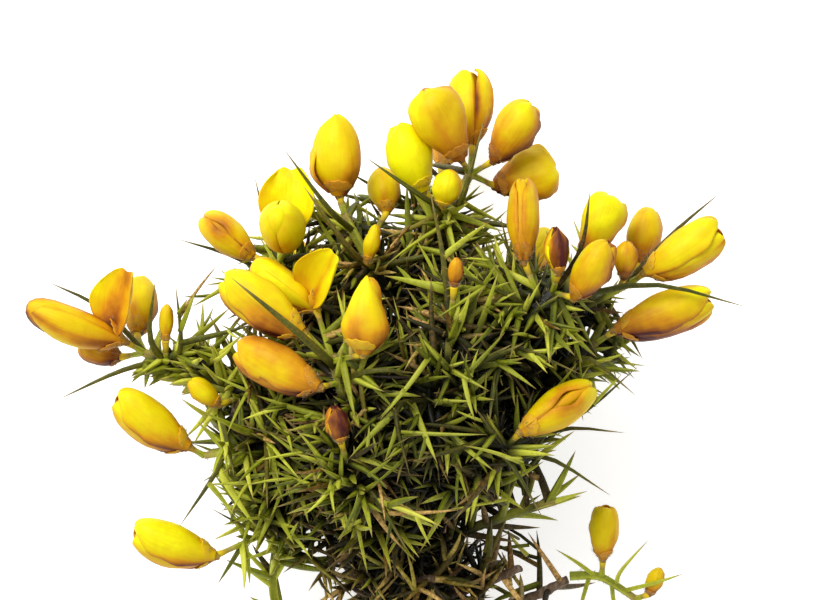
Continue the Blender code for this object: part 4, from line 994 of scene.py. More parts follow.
def path_frames(paths):
    """Two directions across each point of each path, carried along it without twist."""
    along = units(np.gradient(paths, axis=1))
    chord = np.abs(paths[:, -1] - paths[:, 0])
    across = np.eye(3)[np.argmin(chord, axis=1)]
    every = []
    for step in range(paths.shape[1]):
        heading = along[:, step]
        across = units(across - (across * heading).sum(-1, keepdims=True) * heading)
        every.append(across)
    across = np.stack(every, axis=1)
    return across, np.cross(along, across)


def set_values(mesh, **values):
    for name, numbers in values.items():
        layer = mesh.attributes.new(name, "FLOAT", "POINT")
        layer.data.foreach_set("value", np.ascontiguousarray(numbers, np.float32).ravel())


def rods_object(kind, rods, material):
    """Round rods in one mesh, each along its own path, with grooves down their length."""
    sides, rings, groove = TUBES[kind]
    mesh, ring, side = tube_copies(sides, rings, len(rods))
    paths = np.array([resampled(rod.path, rings) for rod in rods])
    radii = np.array([resampled(rod.radii, rings) for rod in rods])
    across, over = path_frames(paths)
    turn = 2 * math.pi * side / sides
    crest = (side % 2).astype(float)
    girth = radii[:, ring] * (1 - groove * (1 - crest))
    places = np.cos(turn)[:, None] * across[:, ring] + np.sin(turn)[:, None] * over[:, ring]
    places = paths[:, ring] + girth[..., None] * places
    mesh.vertices.foreach_set("co", places.ravel())
    each = np.ones(len(ring))
    # light is the painted light and shade that the spine material mixes in
    set_values(mesh, along=np.tile(ring / (rings - 1), (len(rods), 1)),
               across=np.tile(crest, (len(rods), 1)),
               tint=np.outer([rod.tint for rod in rods], each),
               age=np.outer([rod.age for rod in rods], each), light=daylight(paths)[:, ring])
    mesh.shade_smooth()
    mesh.materials.append(material)
    mesh.update()
    return new_object(kind, mesh)


def spine(points, radius, tint, age, bow, steps=8):
    """A spine from its root to its point, a little bowed, thick for most of its length."""
    if len(points) == 2:
        root, end = np.array(points[0], float), np.array(points[1], float)
        share = np.linspace(0, 1, steps)[:, None]
        across = cross_directions(unit(end - root + NUDGE))
        bend = bow[0] * across[0] + bow[1] * across[1]
        path = root + (end - root) * share + 4 * share * (1 - share) * bend
    else:
        path = rounded_path(points, steps // 2)
    share = np.linspace(0, 1, len(path))
    radii = SPINE_GIRTH * radius * (1 - share**SPINE_FULLNESS) + SPINE_END
    return Rod(path, radii, tint, age)


def any_bow(draw, most):
    """How far a spine bows to either side of its straight line, by chance."""
    return draw.uniform(-most, most), draw.uniform(-most, most)


def finish_piece(obj, nodes):
    """Bring a finished piece to metres, ease it into the solids' box, hang it on the root and hide the
    solids it stands in for.
    """
    bring_to_metres(obj.data)
    press_into_box(obj.data)
    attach(obj, "root")
    if nodes:
        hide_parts(*nodes)


# Materials

def add_node(tree, kind, settings=None, **inputs):
    """Add a shader node; each input, by name or by number, takes a value or an output."""
    made = tree.nodes.new("ShaderNode" + kind)
    for name, value in (settings or {}).items():
        setattr(made, name, value)
    for name, value in inputs.items():
        key = int(name[1:]) if name[0] == "_" else name.replace("_", " ")
        if isinstance(value, bpy.types.NodeSocket):
            tree.links.new(value, made.inputs[key])
        else:
            made.inputs[key].default_value = value
    return made


def math_node(tree, operation, a, b=0.0):
    return add_node(tree, "Math", {"operation": operation}, _0=a, _1=b).outputs[0]


def summed(tree, *parts):
    """The sum of several values, each times its share."""
    terms = [math_node(tree, "MULTIPLY", value, share) for value, share in parts]
    total = terms[0]
    for term in terms[1:]:
        total = math_node(tree, "ADD", total, term)
    return total


def varied(tree, value, grain, amount):
    """A value made uneven by a noise, whose middle is 0.5."""
    uneven = math_node(tree, "SUBTRACT", grain, 0.5)
    return math_node(tree, "ADD", value, math_node(tree, "MULTIPLY", uneven, amount))


def attribute(tree, name):
    return add_node(tree, "Attribute", {"attribute_name": name}).outputs["Fac"]


def object_place(tree):
    return add_node(tree, "TexCoord").outputs["Object"]


def noise_at(tree, vector, scale, detail=2.0, roughness=0.5):
    return add_node(tree, "TexNoise", Vector=vector, Scale=scale, Detail=detail,
                    Roughness=roughness).outputs["Fac"]


def ramp(tree, factor, stops):
    made = add_node(tree, "ValToRGB", Fac=factor)
    elements = made.color_ramp.elements
    while len(elements) < len(stops):
        elements.new(0.5)
    for element, (place, colour) in zip(elements, stops):
        element.position = place
        element.color = (*colour[:3], 1.0)
    return made.outputs["Color"]


def step_between(tree, value, low, high):
    """A soft step of a value from 0 at low to 1 at high."""
    made = add_node(tree, "MapRange", {"interpolation_type": "SMOOTHSTEP"}, Value=value,
                    From_Min=low, From_Max=high)
    return made.outputs["Result"]


def mixed(tree, factor, a, b):
    made = add_node(tree, "Mix", {"data_type": "RGBA"}, _0=factor, _6=a, _7=b)
    return made.outputs[2]


def set_inputs(shader, **values):
    """Set a shader's own sockets, by name."""
    for name, value in values.items():
        shader.inputs[name.replace("_", " ")].default_value = value


def new_material(name):
    material = bpy.data.materials.new(name)
    material.use_nodes = True
    return material, material.node_tree, material.node_tree.nodes["Principled BSDF"]


def coloured(tree, shader, colour, roughness):
    tree.links.new(colour, shader.inputs["Base Color"])
    set_inputs(shader, Roughness=roughness)


def bump(tree, shader, height, distance):
    made = add_node(tree, "Bump", Height=height, Distance=distance)
    tree.links.new(made.outputs["Normal"], shader.inputs["Normal"])


def petal_material(settings):
    """Thin waxy petals: the tint's colours, mottled, with fine veins from base to edge."""
    material, tree, shader = new_material("gorse_petal")
    fan = add_node(tree, "CombineXYZ",
                   X=math_node(tree, "MULTIPLY", attribute(tree, "across"), VEINS_ACROSS),
                   Y=math_node(tree, "MULTIPLY", attribute(tree, "along"), VEINS_ALONG)).outputs[0]
    veins = noise_at(tree, fan, scale=1.0, detail=3.0)
    mottle = noise_at(tree, object_place(tree), scale=420.0)
    tint = varied(tree, attribute(tree, "tint"), mottle, amount=0.28)
    tint = varied(tree, tint, veins, amount=0.16)
    colour = ramp(tree, tint, [(0.0, settings.lemon), (0.15, settings.yellow),
                               (0.34, settings.golden), (0.55, settings.orange),
                               (0.78, settings.brown), (1.0, settings.maroon)])
    coloured(tree, shader, colour, roughness=0.55)
    set_inputs(shader, Specular_IOR_Level=0.2, Subsurface_Weight=0.15,
               Subsurface_Radius=(1.0, 0.6, 0.1), Subsurface_Scale=0.0012)
    bump(tree, shader, veins, settings.vein_depth)
    return material


def calyx_material(settings):
    """Dry papery calyx and stalk: olive to brown at the stalk, and like the petals at its rim."""
    material, tree, shader = new_material("gorse_calyx")
    speckle = noise_at(tree, object_place(tree), scale=900.0, detail=3.0)
    rim = step_between(tree, attribute(tree, "along"), 0.1, 0.75)
    tint = varied(tree, attribute(tree, "tint"), speckle, amount=0.5)
    foot = ramp(tree, tint, [(0.0, settings.calyx_olive), (0.5, settings.calyx_tan),
                             (1.0, settings.calyx_brown)])
    edge = ramp(tree, tint, [(0.0, settings.yellow), (0.35, settings.golden),
                             (0.7, settings.orange), (1.0, settings.brown)])
    coloured(tree, shader, mixed(tree, rim, foot, edge), roughness=0.7)
    bump(tree, shader, speckle, distance=0.00006)
    return material


def hair_material(settings):
    """Pale hairs, brown at their roots."""
    material, tree, shader = new_material("gorse_hair")
    colour = ramp(tree, attribute(tree, "along"), [(0.0, settings.calyx_brown),
                                                   (0.4, settings.hair), (1.0, settings.hair)])
    coloured(tree, shader, colour, roughness=0.6)
    return material


def spine_material(settings):
    """Green spines with painted highlights on their ridges and tan points, brown where they are old."""
    material, tree, shader = new_material("gorse_spine")
    place = object_place(tree)
    patchy = noise_at(tree, place, scale=170.0)
    streaks = noise_at(tree, place, scale=1400.0, detail=3.0)
    tint, crest = attribute(tree, "tint"), attribute(tree, "across")
    # the crest share is a painted highlight on the ridges and painted shade in the grooves between them
    tone = varied(tree, summed(tree, (tint, 0.6), (crest, 0.2), (patchy, 0.4)), streaks,
                  amount=0.25)
    green = ramp(tree, tone, [(0.15, settings.deep_green), (0.5, settings.green),
                              (0.95, settings.pale_green)])
    worn = summed(tree, (streaks, 0.6), (tint, 0.5))
    dead = ramp(tree, worn, [(0.38, settings.dead_dark), (0.62, settings.dead_brown),
                             (0.86, settings.dead_tan)])
    colour = mixed(tree, attribute(tree, "age"), green, dead)
    tip = step_between(tree, attribute(tree, "along"), 0.78, 0.97)
    colour = mixed(tree, math_node(tree, "MULTIPLY", tip, 0.7), colour, tuple(settings.point))
    # painted shade: where little light reaches them, spines are mixed towards the shade colour
    colour = mixed(tree, attribute(tree, "light"), tuple(settings.shade), colour)
    coloured(tree, shader, colour, roughness=0.52)
    set_inputs(shader, Specular_IOR_Level=0.25)
    bump(tree, shader, streaks, distance=0.00008)
    return material


def bark_material(settings):
    """Bark: furrowed along the stem, grey ridges over brown."""
    material, tree, shader = new_material("gorse_bark")
    place = object_place(tree)
    stretched = add_node(tree, "Mapping", Vector=place, Scale=(1.0, 0.28, 0.9)).outputs[0]
    furrow = noise_at(tree, stretched, scale=1100.0, detail=4.0, roughness=0.6)
    broad = noise_at(tree, place, scale=190.0, detail=3.0)
    tone = summed(tree, (furrow, 0.75), (broad, 0.35))
    colour = ramp(tree, tone, [(0.3, settings.bark_dark), (0.55, settings.bark_brown),
                               (0.78, settings.bark_grey)])
    coloured(tree, shader, colour, roughness=0.85)
    bump(tree, shader, furrow, distance=0.0003)
    return material


def cut_material(settings, centre):
    """The sawn end: pale wood with rings round its middle."""
    material, tree, shader = new_material("gorse_cut_wood")
    place = object_place(tree)
    centred = add_node(tree, "Mapping", Vector=place, Location=tuple(-c for c in centre)).outputs[0]
    reach = add_node(tree, "VectorMath", {"operation": "LENGTH"}, _0=centred).outputs["Value"]
    grain = noise_at(tree, place, scale=1500.0, detail=3.0)
    bands = math_node(tree, "SINE", summed(tree, (reach, RINGS_PER_METRE), (grain, 4.0)))
    colour = ramp(tree, math_node(tree, "MULTIPLY_ADD", bands, 0.5), [
        (0.0, settings.cut_dark), (1.0, settings.cut_pale)])
    coloured(tree, shader, colour, roughness=0.8)
    bump(tree, shader, grain, distance=0.00005)
    return material


def shared_material(make, settings):
    """A material that is made once and used again."""
    name = "gorse_" + make.__name__.removesuffix("_material")
    return bpy.data.materials.get(name) or make(settings)


# Settings

def colour_property(name, description, default):
    return FloatVectorProperty(name=name, description=description, default=(*default, 1.0),
                               subtype="COLOR", size=4, min=0.0, max=1.0)


def count_property(name, description, default, least=1):
    return IntProperty(name=name, description=description, default=default, min=least)


def length_property(name, description, default):
    return FloatProperty(name=name, description=description, default=default, unit="LENGTH",
                         precision=5)


class GorsePetals(bpy.types.PropertyGroup):
    thickness: length_property("Petal thickness", "How thick each petal is", 0.00025)
    vein_depth: length_property("Vein depth", "How far the petals' veins stand up", 0.00008)
    hair_count: count_property("Hairs", "Hairs on one calyx", 70, 3)
    lemon: colour_property("Lemon", "Petals at their brightest", (0.88, 0.8, 0.0))
    yellow: colour_property("Yellow", "Petals that are bright", (0.76, 0.605, 0.0))
    golden: colour_property("Golden", "Petals at their commonest", (0.71, 0.475, 0.0))
    orange: colour_property("Orange", "Petals that are ageing", (0.6, 0.26, 0.003))
    brown: colour_property("Brown", "Edges that have dried", (0.32, 0.1, 0.006))
    maroon: colour_property("Maroon", "Petals that are spent", (0.07, 0.009, 0.008))
    calyx_olive: colour_property("Calyx olive", "Calyx while fresh", (0.4, 0.34, 0.02))
    calyx_tan: colour_property("Calyx tan", "Calyx as it dries", (0.38, 0.22, 0.02))
    calyx_brown: colour_property("Calyx brown", "Calyx once dry", (0.16, 0.055, 0.012))
    hair: colour_property("Hair", "Hairs on calyx and stems", (0.45, 0.36, 0.2))


class GorseSpines(bpy.types.PropertyGroup):
    seed: IntProperty(name="Seed", description="Start of the random growth", default=23)
    fill_count: count_property("Filling spines", "Spines tried on the shoots", 3000)
    side_count: count_property("Side spines", "Side spines tried on the spines", 2200)
    outer_count: count_property("Outer spines", "Spines tried at the far left", 1200)
    crown_count: count_property("Crown spines", "Spines tried below the top flowers", 800)
    edge_count: count_property("Edge spines", "Spines tried at the lower left edge", 420)
    inner_count: count_property("Inner spines", "Dead spines tried inside the head", 1500)
    skirt_count: count_property("Skirt spines", "Dead spines tried below the head", 700)
    inner_side_count: count_property("Inner side spines", "Side spines tried on the dead ones", 3500)
    hair_count: count_property("Hairs", "Hairs on one shoot", 120, 3)
    fill_radius: length_property("Filling radius", "Radius of a filling spine", 0.0009)
    side_radius: length_property("Side radius", "Radius of a side spine", 0.0007)
    deep_green: colour_property("Deep green", "Spines at their darkest", (0.03, 0.038, 0.004))
    green: colour_property("Green", "Spines at their commonest", (0.23, 0.26, 0.008))
    pale_green: colour_property("Pale green", "Ridges that catch the light", (0.64, 0.67, 0.06))
    # painted shade: the near-black that spines are mixed towards where little light reaches them
    shade: colour_property("Shade", "Spines deep inside the head", (0.008, 0.008, 0.003))
    point: colour_property("Point", "The hard point of a spine", (0.3, 0.2, 0.06))
    dead_dark: colour_property("Dead dark", "Dead spines in their grooves", (0.012, 0.006, 0.003))
    dead_brown: colour_property("Dead brown", "Dead spines", (0.15, 0.055, 0.008))
    dead_tan: colour_property("Dead tan", "Dead spines that have bleached", (0.76, 0.46, 0.16))


class GorseWood(bpy.types.PropertyGroup):
    furrow: length_property("Furrows", "How deep the bark is furrowed", 0.00022)
    bark_dark: colour_property("Bark dark", "Bottom of the furrows", (0.025, 0.014, 0.008))
    bark_brown: colour_property("Bark brown", "Bark at its commonest", (0.11, 0.062, 0.03))
    bark_grey: colour_property("Bark grey", "Weathered ridges", (0.26, 0.2, 0.14))
    cut_dark: colour_property("Cut dark", "Dark rings of the cut end", (0.4, 0.26, 0.12))
    cut_pale: colour_property("Cut pale", "Pale rings of the cut end", (0.62, 0.46, 0.26))


class GorseStage(bpy.types.PropertyGroup):
    floor: colour_property("Floor", "The plain pale floor", (0.86, 0.86, 0.85))
    floor_glow: FloatProperty(name="Floor glow", description="Light from under the floor, as on a"
                              " light table", default=0.66, min=0.0)
    sky: colour_property("Fill light", "Light from all round", (1.0, 1.0, 1.0))
    sky_strength: FloatProperty(name="Fill strength", description="Strength of the fill light",
                                default=0.7, min=0.0)
    key_power: FloatProperty(name="Key power", description="Power of the soft key light",
                             default=13.0, min=0.0, unit="POWER")
    key_size: length_property("Key size", "Side of the square key light", 0.6)
    lens: FloatProperty(name="Lens", description="Focal length of the camera", default=184.7,
                        min=1.0, unit="CAMERA")


# Flowers, whose shapes are in shares of a flower's length or girth unless a comment says otherwise

FOOT_GIRTH, FOOT_CURVE = 0.3, 1.05
WAVES, CROSS_WAVE = ((1.0, 3.1, 2.2), (0.6, 5.3, -3.7)), (0.4, 9, 6)  # strength, along, across
EDGE, MARGIN, MOUTH = (0.8, 1.0), (0.75, 1.0), (0.3, 0.9)
CREASE_WIDTH, CREASE_LIFT = 0.07, 0.05
RIPPLES, RIPPLE_LIFT, UNEVEN = 17, 0.05, 0.05
MARGIN_LIFT, MOUTH_LIFT = 0.03, 0.1
HOOD_NOTCH, HOOD_TIP = 0.28, (0.7, 1.0)
ROUNDING = 0.05  # how much shorter a petal is at its sides
SLIT_PLACE, SLIT_REACH = 0.68, 0.16
WRAP_START, WRAP_LOSS, WRAP_TIP_LOSS = 1.06, 0.06, 0.2

STANDARD_ARC, STANDARD_FULLNESS, STANDARD_SPAN = 0.51, 0.7, (0.1, 0.78)
STANDARD_TALL, STANDARD_ROUNDING = 0.84, 0.1
STANDARD_NOTCH, STANDARD_TIP = 0.25, (0.6, 1.0)
STANDARD_ROLL, STANDARD_UNEVEN = 0.5, 0.25  # millimetres
STANDARD_FOOT = (0.1, 0.06)

OPEN_WING = (0.52, 2.3, 0.05, 0.5)  # peak, blunt, end and taper
WING_START, WING_SPAN, WING_GIRTH, WING_UNEVEN = 0.03, 0.94, 0.9, 0.05

LIP_REACH, LIP_ROUNDNESS, LIP_BACK = (0.09, 0.17), 0.8, 0.06
LIP_SCALLOPS, LIP_SCALLOP = 19, 0.012
LIP_SWELL, LIP_SWELL_CURVE = (0.0, 0.18), 0.7
LIP_HALF_TURN, LIP_TILT = math.radians(88), -1.5
LIP_FOOT, LIP_GIRTH, LIP_ROOM = 0.62, 1.04, 0.16  # foot and room in millimetres

BASE_REACH, MID_WIDTH = 0.3, 0.12  # how far a petal's base and middle colours go
SHADE_SIDE = (0.75, -0.45)  # how squarely a petal faces the light, from lit to shaded
TINT_UNEVEN = 0.05
BEND_REACH, BEND_DIP = 1.1, 0.45
RIDGE_DEPTH, RIDGE_WIDTH = 0.12, 0.25
SPENT_CALYX, CALYX_BASE, LOW_LIP_TINT = 0.75, 1.2, 0.1

HAIRY, HAIR_LEAN, HAIR_LENGTH, HAIR_ROOT = (0.05, 1.0), (0.3, 1.4), (0.5, 1.1), 0.1
RUN_IN, STALK_BOW, STALK_GIRTHS, STALK_TINT = 0.02, 0.1, (0.55, 0.85), 0.25

HOOD_GRID, STANDARD_GRID, WING_GRID, LIP_GRID = (22, 28), (20, 26), (16, 10), (8, 16)
POD_GRID = (14, 10)


class Bloom:
    """One flower while it is modelled: all its petals go into the same mesh, in its own frame.

    X is sideways, Y from base to tip and Z dorsal, in millimetres from the base.
    """

    def __init__(self, flower, materials, settings):
        self.flower = flower
        self.base = np.array(flower.base, float)
        self.look = LOOKS.get(flower.name, Look())
        self.settings = settings
        self.length, side, forward, dorsal = flower_frame(flower)
        self.axes = np.array((side, forward, dorsal))
        self.half = 0.5 * np.array((flower.width, flower.depth))
        self.draw = random.Random(flower.name)
        self.phases = [self.draw.uniform(0, 2 * math.pi) for _ in range(6)]
        self.materials = materials
        self.bm = bmesh.new()
        self.layers = [self.bm.verts.layers.float.new(name)
                       for name in ("along", "across", "tint", "age")]

    def girth(self, u, peak=None, blunt=None, end=None, taper=None):
        """Share of the widest girth, from base to tip."""
        look = self.look
        peak, blunt, taper = peak or look.peak, blunt or look.blunt, taper or look.taper
        end = look.end if end is None else end
        rise = np.sin(0.5 * np.pi * np.clip(u / peak, 0, 1)) ** FOOT_CURVE
        rise = FOOT_GIRTH + (1 - FOOT_GIRTH) * rise
        fall = np.clip((u - peak) / (1 - peak), 0, 1)
        return np.where(u < peak, rise, end + (1 - end) * (1 - fall**blunt) ** taper)

    def wave(self, u, v):
        """A slow unevenness that is different on every flower."""
        total = sum(strength * np.sin(along * u + across * v + phase)
                    for (strength, along, across), phase in zip(WAVES, self.phases))
        strength, along, across = CROSS_WAVE
        crossed = np.sin(along * u + self.phases[2]) * np.sin(across * v + self.phases[3])
        return (total + strength * crossed) / 2

    def ring_point(self, angle, girth, y):
        """Places round the flower's axis: angle 0 is dorsal."""
        x = self.half[0] * girth * np.sin(angle)
        z = self.half[1] * girth * np.cos(angle)
        return np.column_stack((x, y, z))

    def lifted(self, places, degrees):
        """The places turned up about the flower's base."""
        turn = math.radians(degrees)
        x, y, z = places.T
        return np.column_stack((x, y * math.cos(turn) - z * math.sin(turn),
                                y * math.sin(turn) + z * math.cos(turn)))

    def hood(self, u, v):
        """The standard petal folded over the flower."""
        look = self.look
        margin = smooth(*MARGIN, np.abs(v))
        crease = np.exp(-(v / CREASE_WIDTH) ** 2) * np.sin(np.pi * u)
        ripple = RIPPLE_LIFT * margin * np.sin(RIPPLES * u + self.phases[4]) * np.sin(np.pi * u)
        uneven = look.crumple * (UNEVEN * self.wave(2 * u, 2 * v) + ripple)
        radial = 1 + CREASE_LIFT * crease + uneven + MARGIN_LIFT * margin
        radial = radial + MOUTH_LIFT * margin * smooth(*MOUTH, u)
        notch = look.notch * np.exp(-(v / HOOD_NOTCH) ** 2) * smooth(*HOOD_TIP, u)
        y = self.length * (u - ROUNDING * v * v * u - notch)
        wrap = np.radians(look.wrap - look.slit * np.exp(-((u - SLIT_PLACE) / SLIT_REACH) ** 2))
        if not look.slit:
            wrap = wrap * (WRAP_START - WRAP_LOSS * u - WRAP_TIP_LOSS * smooth(*EDGE, u))
        angle = v * wrap + math.radians(look.skew)
        return self.lifted(self.ring_point(angle, self.girth(u) * radial, y), look.gape)

    def standard(self, u, v):
        """The standard petal of an open flower: it rises and its sides curl forward."""
        look, flower = self.look, self.flower
        start, span = STANDARD_SPAN
        arc = STANDARD_ARC * flower.spread * np.sin(np.pi * (start + span * u)) ** STANDARD_FULLNESS
        reach = STANDARD_TALL * flower.tall * self.length * u * (1.0 - STANDARD_ROUNDING * v * v)
        notch = look.notch * self.length * np.exp(-(v / STANDARD_NOTCH) ** 2)
        reach = reach - notch * smooth(*STANDARD_TIP, u)
        curl = arc * (1.0 - np.cos(STANDARD_FOLD * v))
        curl = curl - STANDARD_ROLL * smooth(*EDGE, np.abs(v))
        curl = curl + STANDARD_UNEVEN * look.crumple * self.wave(2 * u, 2 * v)
        across = arc * np.sin(STANDARD_FOLD * v)
        ahead = reach * np.cos(STANDARD_LIFT) + curl * np.sin(STANDARD_LIFT)
        turn = math.radians(flower.turn)
        foot_ahead, foot_up = STANDARD_FOOT
        x = across * np.cos(turn) - ahead * np.sin(turn)
        y = foot_ahead * self.length + across * np.sin(turn) + ahead * np.cos(turn)
        z = foot_up * self.length + reach * np.sin(STANDARD_LIFT) - curl * np.cos(STANDARD_LIFT)
        return np.column_stack((x, y, z))

    def wing(self, side):
        """One of the two petals beside the keel; side is -1 or 1."""
        def place(u, v):
            look = self.look
            if self.flower.kind == "open":
                girth = self.girth(u, *OPEN_WING)
            else:
                girth = self.girth(WING_START + WING_SPAN * u)
            middle, half_span = look.fan
            angle = side * np.radians(middle + half_span * v)
            swell = WING_GIRTH + WING_UNEVEN * self.wave(2 * u + side, v)
            swell = swell * (look.spread if side * look.skew <= 0 else min(look.spread, 1.0))
            y = self.length * (WING_START + look.reach * u * (1 - ROUNDING * v * v))
            return self.ring_point(angle, girth * swell, y)
        return place

    def lip(self, middle):
        """One lip of the calyx, close to the petals; middle is 0 on top and 180 below."""
        def place(u, v):
            reach = LIP_REACH[0] + LIP_REACH[1] * (1 - v * v) ** LIP_ROUNDNESS
            reach = reach + LIP_SCALLOP * np.sin(LIP_SCALLOPS * v + self.phases[5])
            y = self.length * (u * reach - LIP_BACK)
            swelling = smooth(*LIP_SWELL, y / self.length + LIP_BACK) ** LIP_SWELL_CURVE
            petals = self.girth(np.clip(y / self.length, 0, 1))
            angle = math.radians(middle) + v * LIP_HALF_TURN
            x, z = (LIP_FOOT + (half * petals * LIP_GIRTH + LIP_ROOM - LIP_FOOT) * swelling
                    for half in self.half)
            ahead = np.column_stack((x * np.sin(angle), y, z * np.cos(angle)))
            return self.lifted(ahead, self.look.gape if middle == 0 else LIP_TILT)
        return place

    def petal_tint(self, places, u, v, inner=0.0):
        """The tint at each place of a petal; inner is added on petals that others cover."""
        look = self.look
        outward = units(np.column_stack((places[:, 0], np.zeros(len(u)), places[:, 2])))
        # painted shade: away grows where a petal faces away from the key light, and the look's shade adds
        # orange there
        away = smooth(*SHADE_SIDE, (outward @ self.axes) @ LIGHT_SIDE)
        tint = look.tint + inner + look.base * np.exp(-(u / BASE_REACH) ** 2)
        tint = tint + look.edge * smooth(*EDGE, np.abs(v))
        tint = tint + look.mid * np.exp(-(v / MID_WIDTH) ** 2) + look.shade * away
        for along, across, reach, strength in look.patches:
            tint = tint + strength * np.exp(-((u - along) ** 2 + (v - across) ** 2) / reach**2)
        return tint + TINT_UNEVEN * self.wave(3 * u, 3 * v)

    def bent(self, places):
        """The whole flower's profile, bent up towards its tip."""
        along = np.clip(places[:, 1] / self.length, 0, BEND_REACH)
        places[:, 2] += self.look.bend * self.length * (along**2 - BEND_DIP * along)
        return places

    def set_points(self, verts, places, *values):
        """Move the vertices to their places and write their values into the layers."""
        for vert, place, row in zip(verts, self.bent(places), zip(*values)):
            vert.co = place
            for layer, value in zip(self.layers, row):
                vert[layer] = value

    def sheet(self, grid, shape, material, inner=0.0, tint=None):
        """A petal: a grid laid out by its shape, faced outward and given its thickness."""
        bm = self.bm
        rows, columns = grid
        verts = bmesh.ops.create_grid(bm, x_segments=columns, y_segments=rows, size=1.0)["verts"]
        flat = np.array([vert.co for vert in verts])
        u, v = 0.5 - 0.5 * np.cos(0.5 * np.pi * (flat[:, 1] + 1)), flat[:, 0]
        places = shape(u, v)
        tints = self.petal_tint(places, u, v, inner) if tint is None else tint + 0 * u
        self.set_points(verts, places, u, v, tints, 0 * u)
        faces = faces_of(verts)
        outward = 0.0
        for face in faces:
            face.normal_update()
            middle = face.calc_center_median()
            outward += face.normal.dot(Vector((middle.x, 0, middle.z)))
            face.material_index = material
            face.smooth = True
        if outward < 0:
            bmesh.ops.reverse_faces(bm, faces=faces)
        before = set(bm.verts)
        along, across = self.layers[:2]
        twins = {(vert[along], vert[across]): vert.co.copy() for vert in verts}
        deepest = DEEPEST * self.settings.thickness / MM
        bmesh.ops.solidify(bm, geom=faces, thickness=self.settings.thickness / MM)
        for vert in set(bm.verts) - before:
            outer = twins[vert[along], vert[across]]
            if (vert.co - outer).length > deepest:
                vert.co = outer + (vert.co - outer).normalized() * deepest

    def pod(self):
        """A closed pod inside the petals: the keel, with its sharp lower ridge."""
        pod = PODS["slit" if self.look.slit else self.flower.kind]
        half_w, half_d = self.half
        centre = np.array((0, pod.middle * self.length, -pod.sunk * half_d))
        half = np.array((pod.wide * half_w, pod.long * self.length, pod.deep * half_d))
        around, along = POD_GRID
        verts = bmesh.ops.create_uvsphere(self.bm, u_segments=around, v_segments=along,
                                          radius=1.0)["verts"]
        ball = np.array([vert.co for vert in verts])
        ahead = np.where(ball[:, 2] > 0, np.abs(ball[:, 2]) ** POD_BLUNT, ball[:, 2])
        places = np.column_stack((ball[:, 0], ahead, -ball[:, 1]))
        ridge = RIDGE_DEPTH * np.exp(-(places[:, 0] / RIDGE_WIDTH) ** 2)
        places[:, 2] -= ridge * (places[:, 2] < 0)
        places = centre + places * half
        u, v = 0.5 + 0.5 * ball[:, 2], ball[:, 0]
        self.set_points(verts, places, u, v, self.petal_tint(places, u, v, pod.inner), 0 * u)
        faces = faces_of(verts)
        for face in faces:
            face.smooth = True
        bmesh.ops.recalc_face_normals(self.bm, faces=faces)

    def petals(self):
        if self.flower.kind == "open":
            self.sheet(STANDARD_GRID, self.standard, 0)
        else:
            self.sheet(HOOD_GRID, self.hood, 0)
        self.pod()
        if self.flower.kind != "bud":
            for side in (-1, 1):
                self.sheet(WING_GRID, self.wing(side), 0, inner=self.look.inner)

    def calyx(self):
        dry = CALYX_BASE * self.look.base + self.look.tint
        if self.flower.kind == "spent":
            dry = SPENT_CALYX
        self.sheet(LIP_GRID, self.lip(0), 1, tint=dry)
        self.sheet(LIP_GRID, self.lip(180), 1, tint=dry + LOW_LIP_TINT)

    def hairs(self):
        """Short hairs that lean forward off the calyx."""
        draw, rods = self.draw, []
        for number in range(self.settings.hair_count):
            lip = self.lip(180 * (number % 2))
            u, v = draw.uniform(*HAIRY), draw.uniform(-1, 1)
            root = self.bent(lip(np.array([u]), np.array([v])))[0]
            out = unit(np.array((root[0], draw.uniform(*HAIR_LEAN), root[2])))
            end = root + out * draw.uniform(*HAIR_LENGTH)
            places = np.array((root - HAIR_ROOT * out, end)) @ self.axes
            rods.append(Rod(places + self.base, HAIR_RADII))
        return rods

    def order_faces(self):
        """Put the faces in the order of their corners, so that it is the same in each run."""
        count = len(self.bm.verts)
        self.bm.verts.index_update()

        def rank(face):
            corners = sorted(vert.index for vert in face.verts)
            return sum(corner * count**place for place, corner in enumerate(corners))

        self.bm.faces.sort(key=rank)

    def build(self):
        self.petals()
        self.calyx()
        self.order_faces()
        name = self.flower.name
        mesh = mesh_of(self.bm, name)
        for material in self.materials:
            mesh.materials.append(material)
        matrix = Matrix(self.axes).transposed().to_4x4()
        mesh.transform(Matrix.Translation(self.base) @ matrix)
        body = new_object(name, mesh)
        foot = LAYOUT.feet[name]
        run_in = self.base + self.axes[1] * RUN_IN * self.length
        middle = 0.5 * (foot + self.base) + STALK_BOW * (self.base - run_in)
        path = rounded_path([foot, middle, run_in], 4)
        stalk = Rod(path, np.linspace(*STALK_GIRTHS, len(path)), STALK_TINT, 0.0)
        stalk_object = rods_object("stalk", [stalk], self.materials[1])
        hairs = rods_object("hairs", self.hairs(), self.materials[2])
        return joined(name + "_petals", [body, stalk_object, hairs])


def build_flowers(context, kinds):
    """Every flower of the given kinds, each one piece in place of its solid."""
    settings = context.scene.gorse_petals
    materials = [shared_material(make, settings)
                 for make in (petal_material, calyx_material, hair_material)]
    for flower in FLOWERS:
        if flower.kind in kinds:
            piece = Bloom(flower, materials, settings).build()
            finish_piece(piece, [flower.name])


# Operators

